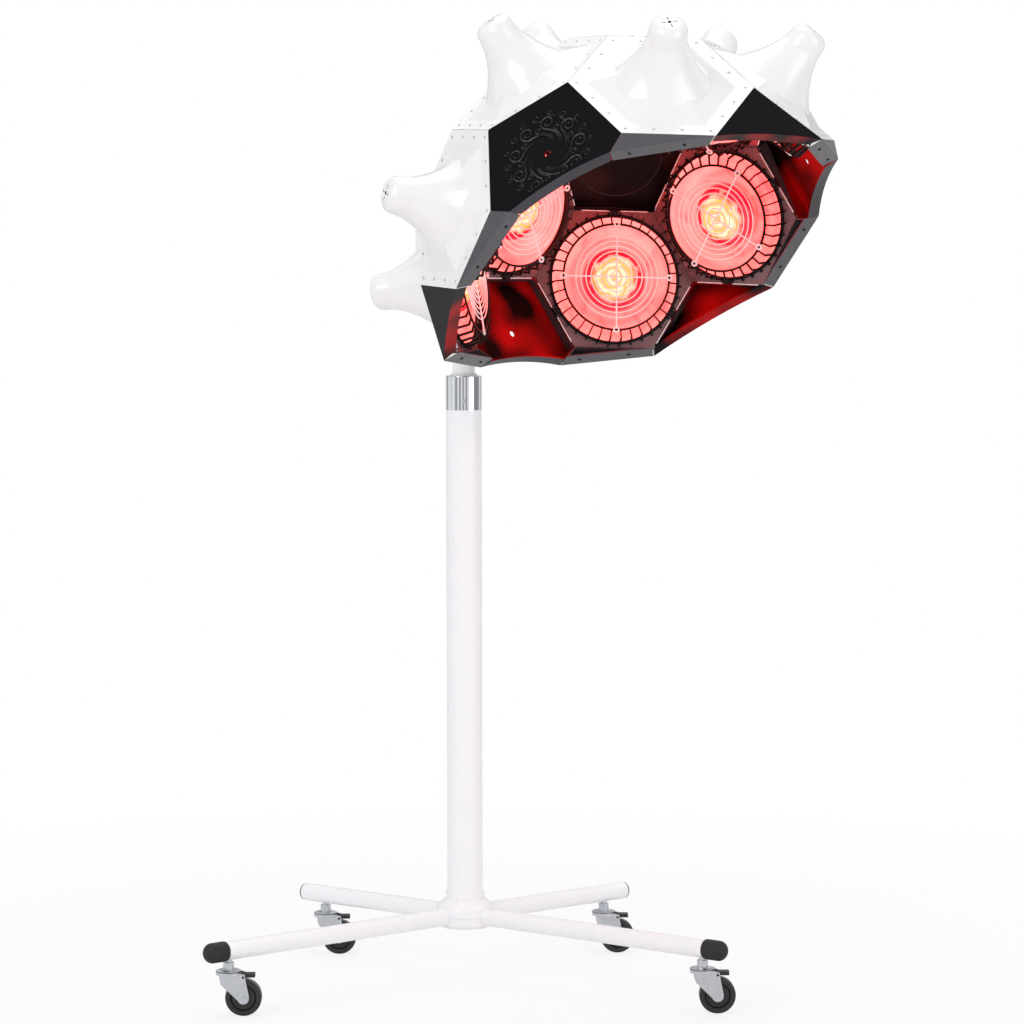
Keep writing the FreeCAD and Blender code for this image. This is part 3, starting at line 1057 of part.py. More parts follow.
tilt_knob = turned("TiltKnob", [
    ("pivot_pin / 2 + pin_clearance", "yoke_width / 2 + seat_gap"),
    ("tilt_knob_diameter / 2 - 6", "yoke_width / 2 + seat_gap"),
    ("tilt_knob_diameter / 2", "yoke_width / 2 + 5"),
    ("tilt_knob_diameter / 2", "yoke_width / 2 + tilt_knob_length - 3"),
    ("tilt_knob_diameter / 2 - 3", "yoke_width / 2 + tilt_knob_length", "3"),
    ("0", "yoke_width / 2 + tilt_knob_length"), ("0", "yoke_width / 2 + tilt_knob_length - 3"),
    ("pivot_pin / 2 + pin_clearance", "yoke_width / 2 + tilt_knob_length - 3")])
node("tilt_knob", tilt_knob, HOOD * BACK * Placement(
    Vector(0, 0, value(PIVOT_ON_HORN)), Rotation(Vector(1, 0, 0), -90)))

# -------------------------------------------------------------------------- check and write out
doc.recompute()
faults = [item.Name for item in doc.Objects if {"Invalid", "Error"} & set(item.State)]
for item in NODES:
    if item.Shape.isNull() or not item.Shape.isValid() or not item.Shape.Solids:
        faults.append(item.Label)
if faults:
    raise RuntimeError("failed objects: " + ", ".join(faults))
os.makedirs("parts", exist_ok=True)
for item in NODES:
    item.Shape.exportStep("parts/%s.step" % item.Label)
print(len(NODES), "nodes,", sum(len(item.Shape.Solids) for item in NODES), "solids")
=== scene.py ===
# %% [markdown]
# # A free-standing hair colour processor
# A salon machine: ten heat lamps sit in a white faceted hood, which tilts on a telescopic mast
# above a four-legged base with casters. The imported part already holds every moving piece, so this
# lesson dresses it: first the helpers, then the finishes, then the pieces that are too fine for
# the solids, and at last the room, the light and the camera.

import json
import math

import bmesh
import bpy
from mathutils import Matrix, Vector


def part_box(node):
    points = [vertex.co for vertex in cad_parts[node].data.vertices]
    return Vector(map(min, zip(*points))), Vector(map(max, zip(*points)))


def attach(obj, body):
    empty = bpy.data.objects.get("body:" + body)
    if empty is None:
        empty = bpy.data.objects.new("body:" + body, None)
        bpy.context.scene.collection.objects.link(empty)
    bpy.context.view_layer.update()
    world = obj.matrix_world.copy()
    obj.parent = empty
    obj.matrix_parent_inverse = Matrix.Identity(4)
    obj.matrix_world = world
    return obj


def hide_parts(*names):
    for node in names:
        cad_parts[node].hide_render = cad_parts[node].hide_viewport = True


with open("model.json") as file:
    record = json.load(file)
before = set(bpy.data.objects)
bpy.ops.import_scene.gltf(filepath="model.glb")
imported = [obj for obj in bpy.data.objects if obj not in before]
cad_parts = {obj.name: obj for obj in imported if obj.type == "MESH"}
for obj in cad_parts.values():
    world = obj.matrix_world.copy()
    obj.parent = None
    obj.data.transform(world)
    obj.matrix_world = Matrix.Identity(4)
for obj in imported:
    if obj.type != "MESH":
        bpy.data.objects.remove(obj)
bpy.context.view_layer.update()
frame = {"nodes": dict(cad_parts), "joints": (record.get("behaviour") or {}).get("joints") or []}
MM = 0.001


# %% [markdown]
# Two small helpers carry the whole lesson on finishes. Colours are written as sRGB hex, the way a
# paint card gives them, and turned to the linear values that light is reckoned in. Nodes are
# added by one function: it sets the node's own settings, and each input gets a value or a link.

# %% Helpers for finishes
def linear(code):
    """An sRGB hex colour as linear RGBA."""
    shares = [int(code[i:i + 2], 16) / 255 for i in (1, 3, 5)]
    return [c / 12.92 if c <= 0.04045 else ((c + 0.055) / 1.055) ** 2.4 for c in shares] + [1.0]


def add(tree, kind, inputs=None, **settings):
    """Adds a node; an input is named, or counted where a node repeats a name."""
    node = tree.nodes.new(kind)
    for name, setting in settings.items():
        setattr(node, name, setting)
    for name, given in (inputs or {}).items():
        if isinstance(given, bpy.types.NodeSocket):
            tree.links.new(given, node.inputs[name])
        else:
            node.inputs[name].default_value = given
    return node


MIX_SHARE, MIX_FIRST, MIX_SECOND, MIX_RESULT = 0, 6, 7, 2     # a Mix node's colour sockets


def finish_of(name, dark, light, patch, rough, grain, depth, **shader_values):
    """A finish with two close tones in patches, and a fine grain in its gloss and relief.

    patch and grain are real sizes in metres, depth is the height of the grain in metres, and
    rough is the lowest and highest roughness."""
    material = bpy.data.materials.new(name)
    material.use_nodes = True
    tree = material.node_tree
    shader = tree.nodes["Principled BSDF"]
    place = add(tree, "ShaderNodeTexCoord").outputs["Object"]
    patches = add(tree, "ShaderNodeTexNoise", {"Vector": place, "Scale": 1 / patch, "Detail": 3.0})
    tone = add(tree, "ShaderNodeMix", {MIX_SHARE: patches.outputs["Fac"], MIX_FIRST: linear(dark),
                                       MIX_SECOND: linear(light)}, data_type="RGBA")
    grains = add(tree, "ShaderNodeTexNoise", {"Vector": place, "Scale": 1 / grain, "Detail": 2.0})
    gloss = add(tree, "ShaderNodeMapRange", {"Value": grains.outputs["Fac"], "To Min": rough[0],
                                             "To Max": rough[1]})
    relief = add(tree, "ShaderNodeBump", {"Height": grains.outputs["Fac"], "Distance": depth,
                                          "Strength": 0.6})
    tree.links.new(tone.outputs[MIX_RESULT], shader.inputs["Base Color"])
    tree.links.new(gloss.outputs["Result"], shader.inputs["Roughness"])
    tree.links.new(relief.outputs["Normal"], shader.inputs["Normal"])
    for socket, number in shader_values.items():
        shader.inputs[socket.replace("_", " ")].default_value = number
    return material


# %% [markdown]
# ## Metals and paint
# Powder coat is baked polyester powder: it flows out almost flat, but keeps a soft orange-peel
# ripple of one to two millimetres. Chrome plate mirrors the room, zinc plate is duller and a
# little blue, and stainless wire is bright with a slight drawn texture. A metal's colour is its
# reflection, so these three are fully metallic and differ in tint and roughness.

# %% Metals and paint
PEEL = 1.6 * MM          # powder coat ripple
powder_coat = finish_of("Powder_coat_white", "#f4f5f8", "#fbfcfd", 60 * MM, (0.22, 0.34), PEEL,
                        0.05 * MM, Coat_Weight=0.25, Coat_Roughness=0.12)
chrome = finish_of("Chrome_plate", "#cfd2d8", "#e6e8ec", 20 * MM, (0.04, 0.09), 3 * MM,
                   0.01 * MM, Metallic=1.0)
zinc = finish_of("Zinc_plated_steel", "#b6bcc3", "#d9dce0", 9 * MM, (0.24, 0.42), 1.2 * MM,
                 0.03 * MM, Metallic=1.0)
stainless = finish_of("Stainless_wire", "#c9cbce", "#eceded", 12 * MM, (0.14, 0.26), 0.9 * MM,
                      0.02 * MM, Metallic=1.0)
# Painted glow: a faint emission keeps the thin guard wires bright.
wire_painted_glow = finish_of("Nickelled_wire_painted_glow", "#e4cfcd", "#f6ebea", 12 * MM, (0.16, 0.28), 0.9 * MM,
                        0.02 * MM, Metallic=0.35, Emission_Strength=0.15)
blackened = finish_of("Blackened_steel", "#17161a", "#26242a", 4 * MM, (0.34, 0.5), 0.6 * MM,
                      0.02 * MM, Metallic=0.6)
grey_paint = finish_of("Grey_satin_paint", "#8d9094", "#a3a6aa", 14 * MM, (0.34, 0.46), 1.2 * MM,
                       0.04 * MM)

# %% [markdown]
# ## Plastics and rubber
# The covers are injection-moulded ABS: white, glossy and even, with a faint shrink ripple where
# ribs lie behind the skin. The panels and rim are the same plastic in black and graphite. Knobs
# and cages are spark-eroded nylon with a fine matt grain of under half a millimetre, drawn here
# a little coarser than life so that it still shows. Rubber is darkest and scatters most.

# %% Plastics and rubber
white_abs = finish_of("ABS_white_gloss", "#eeeeef", "#f6f5f6", 90 * MM, (0.14, 0.24), 7 * MM,
                      0.12 * MM, Coat_Weight=0.35, Coat_Roughness=0.06)
upper_panel_abs, rim_panel_abs = [
    finish_of(name, "#0d0c10", "#151418", 45 * MM, (0.3, 0.4), 1.4 * MM, 0.05 * MM,
              Specular_IOR_Level=0.05) for name in ("ABS_black_satin", "ABS_black_satin_rim")]
cover_abs = finish_of("ABS_white_cover", "#f1efee", "#f8f6f4", 90 * MM, (0.16, 0.28), 7 * MM,
                      0.12 * MM, Coat_Weight=0.3, Coat_Roughness=0.08)
polished_abs = finish_of("ABS_black_polished", "#060607", "#0d0d10", 12 * MM, (0.2, 0.3), 3 * MM,
                         0.03 * MM, Specular_IOR_Level=0.35)
graphite_abs = finish_of("ABS_graphite", "#4b494d", "#5c5a5e", 35 * MM, (0.34, 0.46), 1.4 * MM,
                         0.05 * MM, Specular_IOR_Level=0.35)
white_nylon = finish_of("Nylon_natural", "#e2e1da", "#efeee8", 25 * MM, (0.40, 0.52), 0.8 * MM,
                        0.05 * MM)
black_nylon = finish_of("Nylon_black_eroded", "#141416", "#212124", 12 * MM, (0.42, 0.60),
                        0.7 * MM, 0.08 * MM)
cage_nylon = finish_of("Nylon_black_cage", "#0b090a", "#141113", 12 * MM, (0.4, 0.55), 0.9 * MM,
                       0.04 * MM, Specular_IOR_Level=0.2)
phenolic = finish_of("Phenolic_moulding", "#1d1413", "#2c1f1d", 10 * MM, (0.36, 0.50), 0.8 * MM,
                     0.05 * MM)
soft_rubber = finish_of("Rubber_moulded", "#0d0d0e", "#191919", 16 * MM, (0.48, 0.66), 0.9 * MM,
                        0.08 * MM)
tyre_rubber = finish_of("Tyre_thermoplastic", "#101012", "#1d1d20", 11 * MM, (0.34, 0.50),
                        0.9 * MM, 0.06 * MM, Coat_Weight=0.15, Coat_Roughness=0.25)

# %% [markdown]
# ## Inside the hood
# The plates behind the lamps are bare sheet steel. It is smooth, and its colour is painted
# reflection: the red of the lamps in some places and the grey of the room in others, so its two
# tones lie far apart. Reflectors are spun aluminium: the spinning tool leaves fine rings round the
# axis, so the reflector's pattern is drawn from its own centre. Their rose tone and rose glow are
# painted red light of the lamp.

# %% Steel of the inner plates
# Both tones are painted reflection: the lamps' red and the room's grey.
sheet_steel_painted_reflection = finish_of("Sheet_steel_painted_red_reflection", "#4e1216", "#947679", 60 * MM, (0.22, 0.32),
                        14 * MM, 0.01 * MM, Metallic=0.4)


# %% Spun aluminium, with its lamp's red light painted on
def rings_from_axis(tree, place, pitch, stray):
    """Rings round the piece's own Z axis; stray is how much they waver."""
    return add(tree, "ShaderNodeTexWave", {"Vector": place, "Scale": 1 / (4 * math.pi * pitch),
                                           "Distortion": stray, "Detail": 2.0,
                                           "Detail Scale": 1.2},
               wave_type="RINGS", rings_direction="Z")


def spun_aluminium_painted_glow(rim):
    """Mirror-like bowl painted with the lamp's red light: a rose tone and glow in rings and blots;
    rim is its radius.
    """
    # The rose base tones are painted red light of the lamp.
    material = finish_of("Aluminium_spun_painted_glow", "#b9605f", "#d98581", 14 * MM, (0.2, 0.36), 2 * MM,
                         0.03 * MM, Metallic=1.0)
    tree = material.node_tree
    shader = tree.nodes["Principled BSDF"]
    place = add(tree, "ShaderNodeTexCoord").outputs["Object"]
    rings = rings_from_axis(tree, place, 5 * MM, 1.5)
    reach = add(tree, "ShaderNodeVectorMath", {0: place}, operation="LENGTH")
    outward = add(tree, "ShaderNodeMapRange", {"Value": reach.outputs["Value"],
                                               "From Min": 0.3 * rim, "From Max": 0.6 * rim})
    hues = add(tree, "ShaderNodeMix", {MIX_SHARE: outward.outputs["Result"],
                                       MIX_FIRST: linear("#ff142b"),
                                       MIX_SECOND: linear("#ff6763")}, data_type="RGBA")
    paler = add(tree, "ShaderNodeMath", {0: rings.outputs["Fac"], 1: 0.35}, operation="MULTIPLY")
    glow = add(tree, "ShaderNodeMix", {MIX_SHARE: paler.outputs[0],
                                       MIX_FIRST: hues.outputs[MIX_RESULT],
                                       MIX_SECOND: linear("#ff918c")}, data_type="RGBA")
    glow_blots = add(tree, "ShaderNodeTexNoise", {"Vector": place, "Scale": 1 / (50 * MM),
                                             "Detail": 2.0, "Distortion": 1.2})
    deeper = add(tree, "ShaderNodeMapRange", {"Value": glow_blots.outputs["Fac"], "From Min": 0.5,
                                              "From Max": 0.75, "To Max": 0.7})
    uneven_glow = add(tree, "ShaderNodeMix", {MIX_SHARE: deeper.outputs["Result"],
                                         MIX_FIRST: glow.outputs[MIX_RESULT],
                                         MIX_SECOND: linear("#e0303c")}, data_type="RGBA")
    # The rose emission is a painted glow: the reflector itself is no lamp.
    tree.links.new(uneven_glow.outputs[MIX_RESULT], shader.inputs["Emission Color"])
    shader.inputs["Emission Strength"].default_value = 1.8
    return material


# %% [markdown]
# ## The lamps
# Each lamp is a ruby heat lamp at full power. Its coil is far brighter than the room, so the
# middle looks white and only its fringe shows orange; the light it throws on the plates is red.
# One emission that is strong in red, weaker in green and blue, gives both.

# %% Glowing lamp glass
def lamp_glow(bulb_radius):
    """Ruby glass: a swirl of yellow and white over the coil, and crimson towards the edge."""
    material = finish_of("Lamp_glass_lit", "#8c1220", "#c01c2c", 20 * MM, (0.05, 0.12), 4 * MM,
                         0.05 * MM, Coat_Weight=0.6, Coat_Roughness=0.03)
    tree = material.node_tree
    shader = tree.nodes["Principled BSDF"]
    place = add(tree, "ShaderNodeTexCoord").outputs["Object"]
    apart = add(tree, "ShaderNodeSeparateXYZ", {"Vector": place})
    flat = add(tree, "ShaderNodeCombineXYZ", {"X": apart.outputs["X"], "Y": apart.outputs["Y"]})
    reach = add(tree, "ShaderNodeVectorMath", {0: flat.outputs["Vector"]}, operation="LENGTH")
    clouds = add(tree, "ShaderNodeTexNoise", {"Vector": place, "Scale": 1 / (34 * MM),
                                              "Detail": 3.0, "Distortion": 1.6})
    stray = add(tree, "ShaderNodeMath", {0: clouds.outputs["Fac"], 1: 0.55 * bulb_radius},
                operation="MULTIPLY")
    wavy = add(tree, "ShaderNodeMath", {0: reach.outputs["Value"], 1: stray.outputs[0]},
               operation="ADD")
    edge = add(tree, "ShaderNodeMapRange", {"Value": wavy.outputs[0],
                                            "From Min": 0.82 * bulb_radius,
                                            "From Max": 1.05 * bulb_radius})
    swirl = rings_from_axis(tree, place, 3.4 * MM, 9.0)
    core = add(tree, "ShaderNodeMix", {MIX_SHARE: swirl.outputs["Fac"],
                                       MIX_FIRST: linear("#ff6a2a"),
                                       MIX_SECOND: linear("#ff8c72")}, data_type="RGBA")
    hot = add(tree, "ShaderNodeMix", {MIX_SHARE: edge.outputs["Result"],
                                      MIX_FIRST: core.outputs[MIX_RESULT],
                                      MIX_SECOND: linear("#ff0a18")}, data_type="RGBA")
    tree.links.new(hot.outputs[MIX_RESULT], shader.inputs["Emission Color"])
    shader.inputs["Emission Strength"].default_value = 4.0
    return material


# %% [markdown]
# ## Dressing the solids
# Most solids already have their true shape, so they only change finish. The table reads like a
# parts list: one finish, then every node that has it.

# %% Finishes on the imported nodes
LEGS = ("front_left", "front_right", "rear_left", "rear_right")
COVERS = ("crown", "front_left", "front_right", "upper_left", "upper_right", "side_left",
          "side_right", "rear_left", "rear_right", "back")
finishes = {
    powder_coat: ["hub_lower", "hub_upper", "foot_ring", "pole", "mast_tube", "head_yoke"]
    + ["leg_" + leg for leg in LEGS],
    white_abs: ["control_box", "control_cover"],
    cover_abs: ["hood_cover_" + cover for cover in COVERS],
    upper_panel_abs: ["panels_upper"],
    rim_panel_abs: ["panels_side", "panels_corner"],
    graphite_abs: ["rim_strips"],
    sheet_steel_painted_reflection: ["inner_plates"],
    chrome: ["pole_collar"],
    zinc: ["caster_mounts"] + ["caster_fork_" + leg for leg in LEGS],
    stainless: ["stand_screws", "tilt_pins"],
    wire_painted_glow: ["wire_guards"],
    blackened: ["hood_screws"],
    grey_paint: ["horn_clamp"],
    white_nylon: ["collar_bush", "mast_guide", "mast_top_bush"],
    black_nylon: ["height_lock_knob", "power_inlet", "power_switch", "timer_knob", "tilt_knob"]
    + ["caster_brake_" + leg for leg in LEGS],
    cage_nylon: ["lamp_cages"],
    phenolic: ["lampholders"],
    soft_rubber: ["leg_caps_front", "leg_plugs_rear"],
    tyre_rubber: ["caster_wheel_" + leg for leg in LEGS],
}
for finish, node_names in finishes.items():
    for node_name in node_names:
        solid = frame["nodes"][node_name]
        for surface in solid.material_slots:
            surface.material = finish
        if not solid.material_slots:
            solid.data.materials.append(finish)
print("finished nodes:", sum(len(names) for names in finishes.values()))


# %% [markdown]
# ## Where the facets are
# The hood is the ball that a football has, a truncated icosahedron with a 122 mm edge, lying
# crown up. Its twelve pentagons sit on the corners of an icosahedron and its twenty hexagons on
# the icosahedron's faces, so both follow from the golden ratio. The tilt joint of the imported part
# says where the ball is: its hinge lies on the axis of the horn at the back.

# %% The ball's corners and faces
GOLDEN = (1 + math.sqrt(5)) / 2
HOOD_EDGE = 122 * MM
PIVOT_ON_HORN = 78 * MM
HOOD_LEAN = 34.86
OPENING_ANGLE = 90      # facets are whole above this angle from the crown
WHOLE_PANEL_ANGLE = 60  # panels beyond it are cut by the rim

corners = []
for first in (-1, 1):
    for second in (-GOLDEN, GOLDEN):
        corners += [Vector((0, first, second)), Vector((first, second, 0)),
                    Vector((second, 0, first))]
crown = Vector((1, 1, 1)).normalized()
frontways = Vector((0, 1, -GOLDEN))
frontways = (frontways - crown * frontways.dot(crown)).normalized()
upright = Matrix((frontways, crown.cross(frontways), crown))


def beside(one, other):
    """Two corners of the icosahedron that share an edge."""
    return abs((one - other).length - 2) < 1e-6


rings = []
for corner in corners:
    near = [other for other in corners if beside(corner, other)]
    rings.append([upright @ (corner * 2 + other) / 2 * HOOD_EDGE for other in near])
for i, one in enumerate(corners):
    for j, two in enumerate(corners[:i]):
        for three in corners[:j]:
            trio = (one, two, three)
            if beside(one, two) and beside(two, three) and beside(one, three):
                rings.append([upright @ (p * 2 + q) / 2 * HOOD_EDGE
                              for p in trio for q in trio if p != q])
print("facets of the whole ball:", len(rings))


# %% A frame on each facet
def facet_frame(ring, toward):
    """Origin at the facet's centre, Z outwards, X towards one of its corners."""
    centre = sum(ring, Vector()) / len(ring)
    out = centre.normalized()
    ahead = (toward - centre).normalized()
    frame_matrix = Matrix((ahead, out.cross(ahead), out)).transposed().to_4x4()
    frame_matrix.translation = centre
    return frame_matrix


def height_first(corner):
    """Sorts by height; where heights are equal, by the other two."""
    return [round(part / HOOD_EDGE, 3) for part in (corner.z, corner.x, corner.y)]


def lamp_frame(ring):
    """A lamp's frame. Its edge at 30 degrees is the highest of those that a pentagon shares;
    a hexagon's corners come in pairs, and the two of a pair bound such an edge."""
    one, other = max(zip(ring[::2], ring[1::2]), key=lambda pair: height_first(pair[0] + pair[1]))
    facet = facet_frame(ring, one)
    if (facet.inverted() @ other).y > 0:
        return facet
    return facet_frame(ring, other)


lamp_frames, panel_frames, cut_panel_frames = [], [], []
for ring in rings:
    centre = sum(ring, Vector()) / len(ring)
    tilt_down = math.degrees(centre.angle(Vector((0, 0, 1))))
    lowest = min(ring, key=lambda corner: corner.z)
    if len(ring) == 6 and tilt_down < OPENING_ANGLE:
        lamp_frames.append(lamp_frame(ring))
    elif len(ring) == 5 and tilt_down < WHOLE_PANEL_ANGLE:
        panel_frames.append(facet_frame(ring, lowest))
    elif len(ring) == 5 and tilt_down < OPENING_ANGLE:
        cut_panel_frames.append(facet_frame(ring, lowest))

tilt_joint = next(joint for joint in frame["joints"] if joint["name"] == "hood_tilt")
up = Vector((0, 0, 1))
sideways = -Vector(tilt_joint["axis"])
heading = Matrix((sideways.cross(up), sideways, up)).transposed().to_4x4()
back_out = min((facet.translation for facet in lamp_frames if facet.translation.z > HOOD_EDGE),
               key=lambda centre: centre.x)
pivot = back_out.normalized() * (back_out.length + PIVOT_ON_HORN)
hood = (Matrix.Translation(tilt_joint["pos_m"]) @ heading
        @ Matrix.Rotation(math.radians(-HOOD_LEAN), 4, "Y") @ Matrix.Translation(-pivot))
crown_low, crown_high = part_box("hood_cover_crown")
print("crown facet at", [round(v / MM, 1) for v in (hood @ Vector((0, 0, 2.267 * HOOD_EDGE)))],
      "cover box", [round(v / MM, 1) for v in crown_low], [round(v / MM, 1) for v in crown_high])


# %% [markdown]
# ## Which way a face looks
# Covers and panels are trays: their fronts look away from the middle of the ball, their inner
# sides look at it, and their rims lie edge on. The dot product of a face's normal and its place,
# counted from that middle, tells the three apart. Inner sides get painted shade, with patches of
# painted red light of the lamps, and the rim lips of the panels are graphite like the strips.

# %% Tones of rims, and painted shade and red light on inner sides
FACET_DISTANCE = 2.3 * HOOD_EDGE
FRONT_FROM = 0.7 * FACET_DISTANCE   # on a front the product is about the facet's distance
GRAPHITE = "#4b494d"


def tone_by_side(material, node_name, rim, inner_painted_shade, inner_painted_red_light, front_from):
    """Keeps the tone of the front, which begins where the product passes front_from."""
    tree = material.node_tree
    shader = tree.nodes["Principled BSDF"]
    where = add(tree, "ShaderNodeTexCoord")
    middle = frame["nodes"][node_name].matrix_world.inverted() @ hood.translation
    away = add(tree, "ShaderNodeVectorMath", {0: where.outputs["Object"], 1: middle},
               operation="SUBTRACT")
    looks = add(tree, "ShaderNodeVectorMath", {0: away.outputs["Vector"],
                                               1: where.outputs["Normal"]},
                operation="DOT_PRODUCT")
    # Patches of painted red lamp light over painted shade, for the inner sides.
    patches = add(tree, "ShaderNodeTexNoise", {"Vector": where.outputs["Object"],
                                               "Scale": 1 / (80 * MM), "Detail": 1.0})
    lit = add(tree, "ShaderNodeMapRange", {"Value": patches.outputs["Fac"], "From Min": 0.45,
                                           "From Max": 0.7})
    inner = add(tree, "ShaderNodeMix", {MIX_SHARE: lit.outputs["Result"],
                                        MIX_FIRST: linear(inner_painted_shade),
                                        MIX_SECOND: linear(inner_painted_red_light)}, data_type="RGBA")
    is_inner = add(tree, "ShaderNodeMath", {0: looks.outputs["Value"], 1: 0.0},
                   operation="LESS_THAN")
    is_front = add(tree, "ShaderNodeMath", {0: looks.outputs["Value"],
                                            1: front_from}, operation="GREATER_THAN")
    front = shader.inputs["Base Color"].links[0].from_socket
    outer = add(tree, "ShaderNodeMix", {MIX_SHARE: is_front.outputs[0], MIX_FIRST: linear(rim),
                                        MIX_SECOND: front}, data_type="RGBA")
    whole = add(tree, "ShaderNodeMix", {MIX_SHARE: is_inner.outputs[0],
                                        MIX_FIRST: outer.outputs[MIX_RESULT],
                                        MIX_SECOND: inner.outputs[MIX_RESULT]}, data_type="RGBA")
    tree.links.new(whole.outputs[MIX_RESULT], shader.inputs["Base Color"])


# Inner sides: painted shade, and painted red light of the lamps.
tone_by_side(upper_panel_abs, "panels_upper", GRAPHITE, "#1a1011", "#3a2020", FRONT_FROM)
tone_by_side(rim_panel_abs, "panels_side", GRAPHITE, "#0e0506", "#b00e10", FRONT_FROM)
tone_by_side(cover_abs, "hood_cover_crown", "#f3f2f2", "#160a0b", "#4a1012", 0.0)


# %% [markdown]
# ## Making meshes
# Three tools make every fine piece here. A lathe turns an outline about Z, as for a rivet, a
# washer or a reflector. A stamp repeats one small mesh at many places, so that 180 rivets are one
# piece. A ridge sweeps a half-round section along a line on a flat panel, as an embossing die does.

# %% Lathe, stamp and piece
def lathe(name, outline, steps, closed=False):
    """Turns (radius, height) points about Z; a closed outline makes a ring or a shell."""
    mesh_maker = bmesh.new()
    loops = []
    for radius, height in outline:
        if radius < 1e-7:
            loops.append([mesh_maker.verts.new((0, 0, height))])
            continue
        turns = [2 * math.pi * step / steps for step in range(steps)]
        loops.append([mesh_maker.verts.new((radius * math.cos(a), radius * math.sin(a), height))
                      for a in turns])
    pairs = list(zip(loops, loops[1:])) + ([(loops[-1], loops[0])] if closed else [])
    for low, high in pairs:
        for step in range(steps):
            after = (step + 1) % steps
            if len(low) == 1 and len(high) > 1:
                mesh_maker.faces.new((low[0], high[after], high[step]))
            elif len(high) == 1 and len(low) > 1:
                mesh_maker.faces.new((low[step], low[after], high[0]))
            elif len(low) > 1:
                mesh_maker.faces.new((low[step], low[after], high[after], high[step]))
    bmesh.ops.recalc_face_normals(mesh_maker, faces=mesh_maker.faces)
    mesh = bpy.data.meshes.new(name)
    mesh_maker.to_mesh(mesh)
    mesh_maker.free()
    return mesh


def stamp(name, mesh, places):
    """One mesh that holds a copy of another at each place."""
    mesh_maker = bmesh.new()
    for place in places:
        before = len(mesh_maker.verts)
        mesh_maker.from_mesh(mesh)
        mesh_maker.verts.ensure_lookup_table()
        bmesh.ops.transform(mesh_maker, matrix=place, verts=mesh_maker.verts[before:])
    stamped = bpy.data.meshes.new(name)
    mesh_maker.to_mesh(stamped)
    mesh_maker.free()
    return stamped


def piece(name, mesh, body, finish, place=None, stands_for=()):
    """Puts a mesh in the scene as a piece that rides on a body."""
    if not mesh.materials:
        mesh.materials.append(finish)
        mesh.shade_smooth()
        mesh.set_sharp_from_angle(angle=math.radians(38))
    made = bpy.data.objects.new(name, mesh)
    bpy.context.scene.collection.objects.link(made)
    made.matrix_world = place or Matrix.Identity(4)
    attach(made, body)
    if stands_for:
        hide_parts(*stands_for)
    return made


# %% [markdown]
# ## Rivets along the covers
# Each white cover is held by small grey rivets, ten millimetres in from its edges: one in every
# corner and two between. A rivet head is a shallow dome on a rim, four millimetres wide.

# %% Rivets
RIVET_INSET = 10 * MM
RIVET_RADIUS = 2.1 * MM
RIVET_HEIGHT = 0.9 * MM
rivet = lathe("Rivet", [(RIVET_RADIUS, -0.3 * MM), (RIVET_RADIUS, 0.35 * RIVET_HEIGHT),
                        (0.72 * RIVET_RADIUS, 0.8 * RIVET_HEIGHT), (0, RIVET_HEIGHT)], 12)
rivet_circle = HOOD_EDGE - RIVET_INSET / math.sin(math.radians(60))
rivet_spots = []
for facet in lamp_frames:
    for side in range(6):
        start, end = (Vector((math.cos(a), math.sin(a), 0)) * rivet_circle
                      for a in (math.radians(60 * side), math.radians(60 * (side + 1))))
        for share in (0, 1 / 3, 2 / 3):
            rivet_spots.append(hood @ facet @ Matrix.Translation(start.lerp(end, share)))
piece("cover_rivets", stamp("Cover_rivets", rivet, rivet_spots), "hood", zinc)
print("rivets:", len(rivet_spots))

# %% [markdown]
# ## Slots in the horn tips
# Warm air leaves each horn through a hole in its tip, and through four short slots round it. The
# slots are not cut: each is a thin dark inlay on the tip, painted shade for the inside of the horn.

# %% Horn slots
HORN_HEIGHT = 99 * MM
SLOT_FROM, SLOT_TO, SLOT_WIDTH = 4.6 * MM, 11.4 * MM, 1.3 * MM


def slot_inlay(length, width, thickness):
    """A bar with rounded ends, its long side along X from the origin."""
    mesh_maker = bmesh.new()
    outline = []
    for end, first in ((length - width / 2, -90), (width / 2, 90)):
        for step in range(5):
            turn = math.radians(first + 45 * step)
            outline.append((end + width / 2 * math.cos(turn), width / 2 * math.sin(turn)))
    lower = [mesh_maker.verts.new((x, y, -thickness)) for x, y in outline]
    upper = [mesh_maker.verts.new((x, y, thickness)) for x, y in outline]
    mesh_maker.faces.new(upper)
    mesh_maker.faces.new(list(reversed(lower)))
    for i, vertex in enumerate(lower):
        after = (i + 1) % len(lower)
        mesh_maker.faces.new((vertex, lower[after], upper[after], upper[i]))
    mesh = bpy.data.meshes.new("Slot_inlay")
    mesh_maker.to_mesh(mesh)
    mesh_maker.free()
    return mesh


# The inlays are painted shade, not openings.
inlay = slot_inlay(SLOT_TO - SLOT_FROM, SLOT_WIDTH, 0.06 * MM)
slot_spots = [hood @ facet @ Matrix.Translation((0, 0, HORN_HEIGHT))
              @ Matrix.Rotation(math.radians(45 + 90 * turn), 4, "Z")
              @ Matrix.Translation((SLOT_FROM, 0, 0)) for facet in lamp_frames for turn in range(4)]
piece("horn_slots", stamp("Horn_slots", inlay, slot_spots), "hood", black_nylon)


# %% [markdown]
# ## The embossed rosette
# Every black panel carries a ring of nine curling scrolls that swirl round its middle, a common
# ornament. One scroll is a tail that sweeps out from the middle and rolls up into a volute, which
# is an arc and a spiral that meet on the same tangent. Smaller volutes fill the gaps.

# %% Scroll lines
SCROLLS = 9
TAIL_STEPS, CURL_STEPS = 14, 33
CURL_TURNS, CURL_CLOSES = 1.55, 0.78     # turns of the spiral, and how far it draws in
